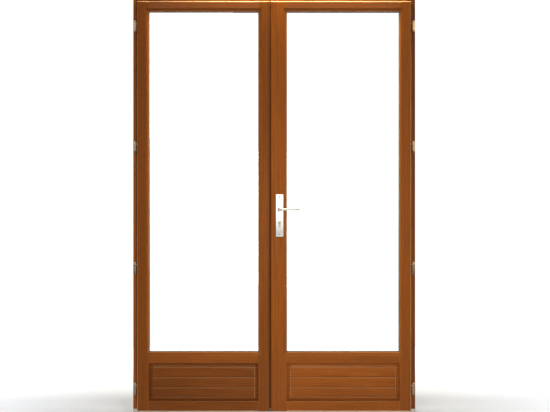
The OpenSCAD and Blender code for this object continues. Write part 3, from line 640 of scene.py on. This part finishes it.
def cross_screw(bm, centre, axis, radius, depth=1.1 * MM):
    """A countersunk head with a cross recess; its edge is flush with the surface at centre."""

    def bearing(place):
        return math.atan2(place[1], place[0])

    arm, slot, dome = 0.58 * radius, 0.13 * radius, 0.1 * MM
    before = set(bm.verts)
    recess = bmesh.ops.create_circle(bm, segments=12, radius=arm)["verts"]
    outline = [Matrix.Rotation(QUARTER * turns, 2) @ Vector(corner) for turns in range(4)
               for corner in ((arm, -slot), (arm, slot), (slot, slot))]
    for v, place in zip(sorted(recess, key=lambda v: bearing(v.co)),
                        sorted(outline, key=bearing)):
        v.co = (*place, dome)
    inner = rim_edges(recess)
    rings = [inner]
    for share, height in ((0.72, dome * 0.75), (0.96, 0.05 * MM), (1.0, -0.1 * MM),
                          (1.0, -0.9 * MM)):
        ring = bmesh.ops.create_circle(bm, segments=24, radius=radius * share)["verts"]
        for v in ring:
            v.co.z = height
        rings.append(rim_edges(ring))
        bmesh.ops.bridge_loops(bm, edges=rings[-2] + rings[-1])
    bmesh.ops.contextual_create(bm, geom=rings[-1])
    sunk = bmesh.ops.extrude_edge_only(bm, edges=inner)["geom"]
    floor = [g for g in sunk if isinstance(g, bmesh.types.BMVert)]
    for v in floor:
        v.co = (v.co.x * 0.7, v.co.y * 0.7, dome - depth)
    bmesh.ops.contextual_create(bm, geom=[g for g in sunk if isinstance(g, bmesh.types.BMEdge)
                                          and all(v in floor for v in g.verts)])
    seat(bm, before, centre, axis)


def rim_edges(verts):
    """The open edges at verts, always in the same order."""
    return list(dict.fromkeys(e for v in verts for e in v.link_edges
                              if e.is_wire or e.is_boundary))


# ---- pieces ----

# each member: grain, tone, contrast, rings, tilt, and a varnish of its own on some
FRAME_TIMBER = {
    # the left jamb's tone is raised for painted light and the right jamb's lowered for painted
    # shade
    "frame_left_jamb": (UPRIGHT, 1.25, 0.7, 36, 0.4),
    "frame_right_jamb": (UPRIGHT, 0.60, 0.7, 36, 0.5),
    "frame_head": (LYING, 1.0, 0.7, 36, 0.4),
}
LEAF_TIMBER = {
    "left_hinge_stile": (UPRIGHT, 0.90, 0.7, 40, 0.45),
    "left_meeting_stile": (UPRIGHT, 0.82, 0.65, 34, 0.35),
    "left_top_rail": (LYING, 0.95, 0.7, 38, 0.5, 0.4),
    "left_mid_rail": (LYING, 0.95, 0.7, 42, 0.7),
    "left_bottom_rail": (LYING, 0.74, 0.75, 38, 0.6),
    "right_hinge_stile": (UPRIGHT, 0.92, 0.7, 38, 0.4),
    "right_meeting_stile": (UPRIGHT, 0.96, 0.65, 36, 0.5),
    "right_top_rail": (LYING, 0.95, 0.7, 40, 0.45, 0.4),
    "right_mid_rail": (LYING, 0.98, 0.7, 36, 0.6),
    "right_bottom_rail": (LYING, 1.0, 0.75, 40, 0.5),
}
PANEL_TIMBER = {
    "left_panel": (LYING, 0.76, 1.0, 44, 1.6),
    "right_panel": (LYING, 1.08, 0.95, 44, 1.4),
}
BEAD_TIMBER = {
    side + bead: (grain, tone, 0.7, 40, tilt)
    for side, tilt in (("left", 0.5), ("right", 0.4))
    for bead, grain, tone in (("_top_bead", LYING, 0.92), ("_bottom_bead", LYING, 0.95),
                              ("_side_beads", UPRIGHT, 0.92))
}
TRIM_TIMBER = {
    "left_drip_bar": (LYING, 0.9, 0.8, 40, 0.6),
    "right_drip_bar": (LYING, 0.92, 0.8, 40, 0.5),
    "left_cover_strip": (UPRIGHT, 0.95, 0.7, 40, 0.4),
}
# what is different on single members: the painted highlights on their edges, and a painted shade
# by the meeting edge
LOOKS = {
    "left_meeting_stile": {"arris": 0.0, "top": 0.9, "edge_shade_span": (-36 * MM, -25 * MM)},
    "right_meeting_stile": {"arris": 0.0, "top": 0.9, "edge_shade_span": (-12 * MM, -19 * MM)},
}


def finish_timber(members, ease, first_seed, **extra):
    """Gives each member a board of its own, and eases its edges."""
    for seed, (node, (grain, *look)) in enumerate(members.items(), first_seed):
        give(node, timber("timber_" + node, grain, seed, *look, **extra, **LOOKS.get(node, {})))
        ease_edges(node, ease)


class DOORS_OT_frame_timber(bpy.types.Operator):
    """Finishes the jambs and the head"""

    bl_idname = "doors.frame_timber"
    bl_label = "Frame timber"

    def execute(self, context):
        finish_timber(FRAME_TIMBER, sizes().timber_ease, 1)
        return {"FINISHED"}


class DOORS_OT_leaf_timber(bpy.types.Operator):
    """Finishes the stiles and rails of both leaves"""

    bl_idname = "doors.leaf_timber"
    bl_label = "Leaf timber"

    def execute(self, context):
        finish_timber(LEAF_TIMBER, sizes().timber_ease, 11)
        return {"FINISHED"}


class DOORS_OT_panels(bpy.types.Operator):
    """Finishes the raised panels, glued up from three boards each"""

    bl_idname = "doors.panels"
    bl_label = "Panels"

    def execute(self, context):
        finish_timber(PANEL_TIMBER, sizes().timber_ease, 31, dust=0.3, boards=(53 * MM, 29 * MM))
        return {"FINISHED"}


class DOORS_OT_beads(bpy.types.Operator):
    """Finishes the glazing beads and sets their pins"""

    bl_idname = "doors.beads"
    bl_label = "Glazing beads"

    def execute(self, context):
        finish_timber(BEAD_TIMBER, sizes().bead_ease, 41, arris=0.1)
        filler = rubber("pin_filler", times(colours().joint_shade, 1.6), 0.5)
        from_edge = 2 * MM
        for side in SIDES:
            low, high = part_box(side + "_side_beads")
            bm = bmesh.new()
            for x in (low.x + from_edge, high.x - from_edge):
                self.row(bm, Vector((x, low.y, low.z)), Vector((x, low.y, high.z)))
            for z in (low.z + from_edge, high.z - from_edge):
                self.row(bm, Vector((low.x, low.y, z)), Vector((high.x, low.y, z)))
            add_piece(side + "_bead_pins", bm, side + "_leaf", filler)
        return {"FINISHED"}

    @staticmethod
    def row(bm, start, end):
        """A row of nearly flat pin heads between two corners."""
        s = sizes()
        flattened = Matrix.Diagonal((1, 0.12, 1, 1))
        count = round((end - start).length / s.pin_pitch)
        for i in range(count):
            place = start.lerp(end, (i + 0.5) / count)
            bmesh.ops.create_uvsphere(bm, u_segments=10, v_segments=6, radius=s.pin_radius,
                                      matrix=Matrix.Translation(place) @ flattened)


class DOORS_OT_rear_trim(bpy.types.Operator):
    """Finishes the drip bars and the cover strip"""

    bl_idname = "doors.rear_trim"
    bl_label = "Rear trim"

    def execute(self, context):
        finish_timber(TRIM_TIMBER, sizes().bead_ease, 51)
        return {"FINISHED"}


class DOORS_OT_glazing(bpy.types.Operator):
    """Finishes the panes, spacers, tapes and setting blocks"""

    bl_idname = "doors.glazing"
    bl_label = "Glazing"

    def execute(self, context):
        c = colours()
        glass, bar = pane_glass(), spacer_bar()
        tape, block = rubber("glazing_rubber", c.rubber), rubber("block_plastic", c.block, 0.5)
        for side in SIDES:
            for part, material in (("_inner_pane", glass), ("_outer_pane", glass),
                                   ("_spacer", bar), ("_glazing_tapes", tape),
                                   ("_setting_blocks", block)):
                give(side + part, material)
        return {"FINISHED"}


class DOORS_OT_threshold(bpy.types.Operator):
    """Finishes the threshold and adds the ribs of its ramp"""

    bl_idname = "doors.threshold"
    bl_label = "Threshold"

    def execute(self, context):
        drawn = metal("drawn_threshold", LYING)
        give("threshold", drawn)
        ease_edges("threshold", sizes().metal_ease)
        rear = max(y for x, y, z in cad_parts["frame_head"].bound_box)
        foot_height = 6 * MM
        ramp_top = Vector((0, rear, SILL_HIGH.z))
        ramp_foot = Vector((0, SILL_HIGH.y, foot_height))
        down = (ramp_foot - ramp_top).normalized()
        up = Vector((0, -down.z, down.y))
        turn = Matrix(((1, 0, 0), (0, down.y, up.y), (0, down.z, up.z))).to_4x4()
        bm = bmesh.new()
        inset, first, last = 1.5 * MM, 4.5 * MM, 1.5 * MM
        rib_width, rib_height, rounding = 1.8 * MM, 1.2 * MM, 0.55 * MM
        shape = Matrix.Diagonal((SILL_HIGH.x - SILL_LOW.x - 2 * inset, rib_width, rib_height, 1))
        pitch = sizes().rib_pitch
        for i in range(int(((ramp_foot - ramp_top).length - first - last) / pitch)):
            place = ramp_top + down * (first + i * pitch)
            bmesh.ops.create_cube(bm, size=1.0, matrix=Matrix.Translation(place) @ turn @ shape)
        top_edges = [e for e in bm.edges if abs(e.verts[0].co.x - e.verts[1].co.x) > inset
                     and (e.verts[0].co - ramp_top).dot(up) > rib_height / 4]
        bevel(bm, top_edges, rounding, 3)
        add_piece("threshold_ribs", bm, "frame", drawn)
        return {"FINISHED"}


class DOORS_OT_seal(bpy.types.Operator):
    """Makes the frame's seal, a bulb with a foot, round three sides"""

    bl_idname = "doors.seal"
    bl_label = "Frame seal"

    def execute(self, context):
        width, foot = 8 * MM, SEAL_LOW.z
        inner_x, inner_z = SEAL_HIGH.x - width, SEAL_HIGH.z - width
        # the section: place across the seal and depth, in shares of its width and depth
        section = ((0.06, 0), (0.94, 0), (0.98, 0.08), (0.82, 0.18), (0.95, 0.34), (1, 0.55),
                   (0.92, 0.78), (0.74, 0.94), (0.5, 1), (0.26, 0.94), (0.08, 0.78),
                   (0, 0.55), (0.05, 0.34), (0.18, 0.18), (0.02, 0.08))
        depth = SEAL_HIGH.y - SEAL_LOW.y
        bm = bmesh.new()
        face = bm.faces.new([bm.verts.new((-inner_x - across * width,
                                           SEAL_HIGH.y - down * depth, foot))
                             for across, down in section])
        legs = (lambda at: (at.x, at.y, inner_z - inner_x - at.x),
                lambda at: (-at.x, at.y, at.z),
                lambda at: (at.x, at.y, foot))
        for leg in legs:
            grown = bmesh.ops.extrude_face_region(bm, geom=[face])["geom"]
            bmesh.ops.delete(bm, geom=[face], context="FACES_ONLY")
            face = next(g for g in grown if isinstance(g, bmesh.types.BMFace))
            for v in face.verts:
                v.co = leg(v.co)
        bmesh.ops.holes_fill(bm, edges=[e for e in bm.edges if e.is_boundary])
        add_piece("seal_loop", bm, "frame",
                  rubber("seal_rubber", colours().rubber), ("frame_seal",), smooth=50)
        return {"FINISHED"}


class DOORS_OT_hinges(bpy.types.Operator):
    """Turns the hinge barrels, with their rings and domes"""

    bl_idname = "doors.hinges"
    bl_label = "Hinges"

    def execute(self, context):
        s = sizes()
        plated = metal("plated_bronze", worn=(0.80, 0.62, 0.38))
        radius = (BARREL_HIGH.x - BARREL_LOW.x) / 2
        centre_x = (BARREL_HIGH.x + BARREL_LOW.x) / 2
        centre_y = BARREL_LOW.y + radius
        # a barrel reaches half above and below its joint, and its dome takes the last of that
        half, dome_height = 32 * MM, 4.5 * MM
        hinge_count = 4
        first, last = BARREL_LOW.z + half, CUP_HIGH.z - half
        groove = radius - s.ring_depth
        neck = radius - s.ring_depth * 0.8
        gap, chamfer, chamfer_height = 0.15 * MM, 0.6 * MM, 1.0 * MM
        sunk, shank_radius, shank_length = radius * 0.8, radius / 2, 27 * MM

        def ring(h):
            """A groove turned in the barrel round height h."""
            outer, inner = 0.9 * MM, 0.35 * MM
            return [(radius, h - outer), (groove, h - inner), (groove, h + inner),
                    (radius, h + outer)]

        lower = [(0, -half), (radius - 2.2 * MM, -half), (radius - 0.8 * MM, -half + 0.5 * MM),
                 (radius, -half + 1.8 * MM), *ring(-half / 2), (radius, -chamfer_height),
                 (radius - chamfer, -gap), (0, -gap)]
        dome_foot = half - dome_height
        dome = [(radius * math.cos(t), dome_foot + dome_height * math.sin(t))
                for t in (math.radians(a) for a in range(0, 90, 9))]
        upper = [(0, gap), (radius - chamfer, gap), (radius, chamfer_height), *ring(half / 2),
                 (radius, dome_foot - 1.9 * MM), (neck, dome_foot - 1.3 * MM),
                 (neck, dome_foot - 0.6 * MM), *dome, (0, half)]
        shank = [(0, 0), (shank_radius, 0), (shank_radius, shank_length - 3 * MM),
                 (shank_radius * 0.7, shank_length), (0, shank_length)]
        for side, sign, inwards in (("left", -1, "X"), ("right", 1, "-X")):
            cups, pins = bmesh.new(), bmesh.new()
            for i in range(hinge_count):
                z = first + (last - first) * i / (hinge_count - 1)
                place = Vector((sign * centre_x, centre_y, z))
                lathe(pins, lower, place)
                lathe(cups, upper, place)
                lathe(pins, shank, place + Vector((0, sunk, -half / 2)), "Y", 20)
                lathe(cups, shank, place + Vector((-sign * sunk, 0, half / 2)), inwards, 20)
            add_piece(side + "_hinge_lower", pins, "frame", plated,
                      (side + "_hinge_pins",))
            add_piece(side + "_hinge_upper", cups, side + "_leaf", plated,
                      (side + "_hinge_cups",))
        return {"FINISHED"}


class DOORS_OT_handle_plates(bpy.types.Operator):
    """Rounds the edges of the two handle plates and eases their holes"""

    bl_idname = "doors.handle_plates"
    bl_label = "Handle plates"

    def execute(self, context):
        polished = metal("polished_aluminium")
        self.plate("plate_inside", "inside_plate", -1, polished)
        self.plate("plate_outside", "outside_plate", 1, polished)
        return {"FINISHED"}

    @staticmethod
    def plate(name, node, facing, material):
        low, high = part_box(node)
        front = low.y if facing < 0 else high.y
        rim_width, hole_ease = 3.2 * MM, 0.3 * MM

        def at_rim(v):
            return min(v.co.x - low.x, high.x - v.co.x, v.co.z - low.z,
                       high.z - v.co.z) < rim_width

        def front_edges(sharper):
            return [e for e in bm.edges if e.calc_face_angle(0) > sharper
                    and all(abs(v.co.y - front) < 0.01 * MM for v in e.verts)]

        bm = merged_copy(node)
        rim = [e for e in front_edges(1.0) if all(map(at_rim, e.verts))]
        bevel(bm, rim, sizes().plate_edge, 5)
        bevel(bm, front_edges(0.6), hole_ease, 2)
        piece = add_piece(name, bm, "right_leaf", material, (node,), 40)
        weigh = piece.modifiers.new("Face weighted normals", "WEIGHTED_NORMAL")
        weigh.keep_sharp = True


class DOORS_OT_levers(bpy.types.Operator):
    """Shapes the two levers as one flowing bar each, with a turned boss"""

    bl_idname = "doors.levers"
    bl_label = "Levers"

    def execute(self, context):
        polished = metal("polished_lever")
        self.lever("lever_inside", "inside_lever", -1, LEAF_FRONT, 9 * MM, polished)
        self.lever("lever_outside", "outside_lever", 1, LEAF_REAR, 8 * MM, polished)
        return {"FINISHED"}

    @staticmethod
    def lever(name, node, facing, leaf, bearing, material):
        low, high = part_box(node)
        outer = abs((low.y if facing < 0 else high.y) - leaf)
        reach = outer - 5 * MM
        bend, steps, rise = 14 * MM, 8, 2.0 * MM
        # half height and half thickness: the neck is round at the boss and thinner at the bend,
        # and the bar widens and thins from its waist to its tip
        neck, neck_thick = 7.6 * MM, 6.7 * MM
        waist, waist_thick = 6.1 * MM, 5.0 * MM
        tip, tip_thick = 8.5 * MM, 4.5 * MM
        end = high.x - AXIS_X - tip
        # stations: place along X, distance from the leaf, lean, half height, half thickness, rise
        stations = []
        for f in (0.0, 0.5, 1.0):
            stations.append((0.0, bearing + 0.2 * MM + f * (reach - bend - bearing), 0.0,
                             neck, neck + (neck_thick - neck) * f, 0.0))
        for f in (i / steps for i in range(1, steps + 1)):
            a = QUARTER * f
            stations.append((bend - bend * math.cos(a), reach - bend + bend * math.sin(a), a,
                             neck + (waist - neck) * f,
                             neck_thick + (waist_thick - neck_thick) * f, 0.0))
        for f in (i / steps for i in range(1, steps + 1)):
            stations.append((bend + (end - bend) * f, reach, QUARTER,
                             waist + (tip - waist) * f ** 1.3,
                             waist_thick + (tip_thick - waist_thick) * f, rise * f * f))
        for a in map(math.radians, (15, 30, 45, 58, 70, 80, 87)):
            stations.append((end + tip * math.sin(a), reach, QUARTER, tip * math.cos(a),
                             tip_thick * math.cos(a) ** 0.55, rise))
        bm = bmesh.new()
        count = 28
        ring = bmesh.ops.create_circle(bm, segments=count, radius=1.0)["verts"]
        bmesh.ops.rotate(bm, verts=ring, cent=(0, 0, 0),
                         matrix=Matrix.Rotation(TAU / count / 2, 3, "Z"))
        circle = [tuple(v.co.xy) for v in ring]
        edges = rim_edges(ring)
        for n, (x, out, lean, tall, wide, raised) in enumerate(stations):
            if n:
                grown = bmesh.ops.extrude_edge_only(bm, edges=edges)["geom"]
                edges = [g for g in grown if isinstance(g, bmesh.types.BMEdge)]
                fresh = {g for g in grown if isinstance(g, bmesh.types.BMVert)}
                # a new vertex follows the one that it grew from
                ring = [next(e.other_vert(v) for e in v.link_edges if e.other_vert(v) in fresh)
                        for v in ring]
            # the section is round at the neck, and squarer along the bar
            squareness = 2.0 + 0.8 * lean / QUARTER
            for v, (c, s) in zip(ring, circle):
                size = (abs(c) ** squareness + abs(s) ** squareness) ** (-1 / squareness)
                across, up = c * size * wide, s * size * tall
                v.co = Vector((AXIS_X + x + across * math.cos(lean),
                               leaf + facing * (out - across * math.sin(lean)),
                               AXIS_Z + raised + up))
        bmesh.ops.holes_fill(bm, edges=[e for e in bm.edges if e.is_boundary])
        # the boss's profile in millimetres: radius, and height over the bearing
        profile = ((0, -2), (11.3, 0.3), (11.5, 0.8), (11.5, 4.6), (11.2, 5.6), (10.3, 6.5),
                   (9.0, 7.0), (7.4, 7.2), (0, 7.2))
        lathe(bm, [(r * MM, bearing + h * MM) for r, h in profile],
              Vector((AXIS_X, leaf, AXIS_Z)), "-Y" if facing < 0 else "Y", 40)
        add_piece(name, bm, "lever", material, (node,), 40)


class DOORS_OT_screws(bpy.types.Operator):
    """Sets the plate screws and the screws of the lock's metal plates"""

    bl_idname = "doors.screws"
    bl_label = "Screws"

    def execute(self, context):
        nickel = metal("screw_nickel")
        radius = (SCREW_HIGH.x - SCREW_LOW.x) / 2
        bm = bmesh.new()
        for z in (SCREW_LOW.z + radius, SCREW_HIGH.z - radius):
            cross_screw(bm, Vector((AXIS_X, PLATE_LOW.y, z)), "-Y", radius)
        add_piece("plate_screw_heads", bm, "right_leaf", nickel,
                  ("plate_screws",))
        self.edge_screws("faceplate_screws", "right_leaf", nickel, "-X",
                         [(FACE_LOW, FACE_HIGH, 9)])
        bolt_plate = 180 * MM
        lower_top = Vector((*BOLT_PLATE_HIGH.xy, BOLT_PLATE_LOW.z + bolt_plate))
        upper_foot = Vector((*BOLT_PLATE_LOW.xy, BOLT_PLATE_HIGH.z - bolt_plate))
        self.edge_screws("edge_plate_screws", "left_leaf", nickel, "X",
                         [(STRIKE_LOW, STRIKE_HIGH, 2), (BOLT_PLATE_LOW, lower_top, 2),
                          (upper_foot, BOLT_PLATE_HIGH, 2)])
        return {"FINISHED"}

    @staticmethod
    def edge_screws(name, body, material, axis, plates):
        """Screws spread along each plate on a leaf's edge; plates are (low, high, count)."""
        bm = bmesh.new()
        margin, radius = 8 * MM, 3.2 * MM
        for low, high, count in plates:
            face = low.x if axis == "-X" else high.x
            for i in range(count):
                z = low.z + margin + (high.z - low.z - 2 * margin) * i / (count - 1)
                cross_screw(bm, Vector((face, (low.y + high.y) / 2, z)), axis, radius,
                            depth=0.9 * MM)
        add_piece(name, bm, body, material)


class DOORS_OT_lock(bpy.types.Operator):
    """Finishes the lock, its rods and bolts, the cylinder and the keeps"""

    bl_idname = "doors.lock"
    bl_label = "Lock"

    def execute(self, context):
        zinc, nickel = metal("zinc_plate"), metal("satin_nickel")
        for node in ("lock_case", "upper_rod", "lower_rod", "spindle", "lock_pinion"):
            give(node, zinc)
        for material, nodes in (
                (zinc, ("lock_faceplate", "left_strike_plate", "left_bolt_plates",
                        "left_top_bolt", "left_bottom_bolt", "deadbolt", "frame_keeps")),
                (nickel, ("cylinder_body", "key_plug"))):
            for node in nodes:
                give(node, material)
                ease_edges(node, sizes().metal_ease)
        return {"FINISHED"}


class DOORS_OT_stage(bpy.types.Operator):
    """Sets the floor, the soft light and the camera"""

    bl_idname = "doors.stage"
    bl_label = "Stage"

    def execute(self, context):
        scene = context.scene
        st = scene.door_stage
        self.floor()
        self.world(scene, st.ambient)
        self.light("key_light", (0.30, -1.60, 1.0), (0.2, 0, 1.0), (1.0, 0.9),
                   st.key_power, (1.0, 0.94, 0.86))
        self.light("top_light", (0.12, -0.085, 2.62), (0.12, -0.05, 2.1), (1.0, 0.08),
                   st.top_power, (1.0, 0.92, 0.68))
        self.light("rear_light", (-1.4, 3.2, 2.4), (0, 0, 1.0), (2.2, 1.6), st.rear_power,
                   (1.0, 0.97, 0.93))
        sensor, seen_width, aside = 36.0, 2.8795, 4.2 * MM
        camera_data = bpy.data.cameras.new("front_camera")
        camera_data.sensor_width = sensor
        camera_data.lens = sensor * st.distance / seen_width
        camera = new_object("front_camera", camera_data)
        camera.location = (aside, LEAF_FRONT - st.distance, st.height)
        camera.rotation_euler = (QUARTER, 0, 0)
        scene.camera = camera
        scene.view_settings.view_transform = "Standard"
        return {"FINISHED"}

    @staticmethod
    def floor():
        """A pale floor that glows more and more away from the doors, up to the white behind."""
        base = colours().floor
        material, tree, shader, _ = new_material("pale_floor", base)
        place = object_position(tree)
        away = tree.add("VectorMath", {0: place}, operation="LENGTH").outputs["Value"]
        glow = tree.span(away, 0.7, 2.4, 0.08, 1.1)
        tree.join(shader, {
            "Base Color": tree.mix(tree.noise(place, 1.5, 3.0), base, times(base, 0.985)),
            "Roughness": 0.7, "Emission Color": base,
            "Emission Strength": tree.product(seen_directly(tree), glow)})
        bm = bmesh.new()
        bmesh.ops.create_grid(bm, x_segments=1, y_segments=1, size=1,
                              matrix=Matrix.Translation((0, 0.2, 0))
                              @ Matrix.Diagonal((5, 2.6, 1, 1)))
        floor = new_object("floor", new_mesh("floor", bm, material))

    @staticmethod
    def light(name, place, target, size, power, tint):
        """An area light at place that faces target; it isn't seen and isn't mirrored."""
        data = bpy.data.lights.new(name, "AREA")
        data.shape = "RECTANGLE"
        data.size, data.size_y = size
        data.energy = power
        data.color = tint
        lamp = new_object(name, data)
        lamp.location = place
        aim = Vector(target) - Vector(place)
        lamp.rotation_euler = aim.to_track_quat("-Z", "Y").to_euler()
        lamp.visible_camera = False
        lamp.visible_glossy = False

    @staticmethod
    def world(scene, strength):
        """White behind the doors. The even light on them is dimmer, and darker from below, and
        they mirror a studio of a window, two wings at the sides and a panel overhead."""
        world = bpy.data.worlds.new("studio")
        scene.world = world
        world.use_nodes = True
        world.node_tree.nodes.clear()
        tree = Tree(world.node_tree)
        side, ahead, up = tree.add("SeparateXYZ", {
            0: tree.add("TexCoord").outputs["Generated"]}).outputs
        daylight, lamplight, shade = (1.0, 0.985, 0.96), (1.0, 0.84, 0.56), (0.62, 0.57, 0.50)
        tone = tree.mix(tree.span(up, -0.06, 0.02), shade, daylight)
        # each span is one border of a mirrored zone, in shares of the direction looked in
        window = tree.product(
            tree.span(up, -0.019, -0.012, 0.24, 1.0), tree.span(up, 0.42, 0.12),
            tree.span(up, -0.12, -0.09), tree.span(ahead, -0.86, -0.94),
            tree.span(side, -0.30, -0.12))
        wings = tree.product(
            tree.span(ahead, -0.6, -0.2), tree.span(up, -0.06, 0.16, 0.0, 1.75),
            tree.span(side, -0.9, 0.3, 0.45, 1.15), tree.span(up, 0.45, 0.28))
        overhead = tree.span(up, 0.72, 0.92)
        low = tree.product(tree.span(ahead, -0.78, -0.9), tree.span(up, 0.0, -0.05))
        plain = tree.span(low, 0.0, 1.0, 0.42, 0.26)
        mirrored = tree.total(tree.product(wings, 4.0),
                              tree.total(tree.product(window, 1.2), plain),
                              tree.product(overhead, 5.0))
        warm = tree.math("MAXIMUM", wings, overhead)
        soft = tree.add("Background", {"Color": tone, "Strength": strength})
        bright = tree.add("Background", {"Color": tree.mix(warm, daylight, lamplight),
                                         "Strength": mirrored})
        white = tree.add("Background", {"Color": (1, 1, 1), "Strength": 1.12})
        glossy = tree.add("LightPath").outputs["Is Glossy Ray"]
        lit = tree.add("MixShader", {0: glossy, 1: soft.outputs[0], 2: bright.outputs[0]})
        both = tree.add("MixShader", {0: seen_directly(tree), 1: lit.outputs[0],
                                      2: white.outputs[0]})
        tree.add("OutputWorld", {"Surface": both.outputs[0]})


STEPS = (
    DOORS_OT_frame_timber, DOORS_OT_leaf_timber, DOORS_OT_panels, DOORS_OT_beads,
    DOORS_OT_rear_trim, DOORS_OT_glazing, DOORS_OT_threshold, DOORS_OT_seal, DOORS_OT_hinges,
    DOORS_OT_handle_plates, DOORS_OT_levers, DOORS_OT_screws, DOORS_OT_lock, DOORS_OT_stage,
)


class DOORS_PT_parts(bpy.types.Panel):
    """The sizes, colours and steps of the doors"""

    bl_idname = "DOORS_PT_parts"
    bl_label = "French doors"
    bl_space_type = "VIEW_3D"
    bl_region_type = "UI"
    bl_category = "Doors"

    def draw(self, context):
        for group in (context.scene.door_sizes, context.scene.door_colours,
                      context.scene.door_stage):
            column = self.layout.column()
            for name in group.__annotations__:
                column.prop(group, name)
        for step in STEPS:
            self.layout.operator(step.bl_idname)


CLASSES = (DoorSizes, DoorColours, DoorStage, *STEPS, DOORS_PT_parts)


def register():
    for item in CLASSES:
        bpy.utils.register_class(item)
    bpy.types.Scene.door_sizes = PointerProperty(type=DoorSizes)
    bpy.types.Scene.door_colours = PointerProperty(type=DoorColours)
    bpy.types.Scene.door_stage = PointerProperty(type=DoorStage)


def unregister():
    del bpy.types.Scene.door_stage
    del bpy.types.Scene.door_colours
    del bpy.types.Scene.door_sizes
    for item in reversed(CLASSES):
        bpy.utils.unregister_class(item)


def main():
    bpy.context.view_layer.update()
    register()
    for step in STEPS:
        family, name = step.bl_idname.split(".")
        getattr(getattr(bpy.ops, family), name)()


if __name__ == "__main__":
    main()
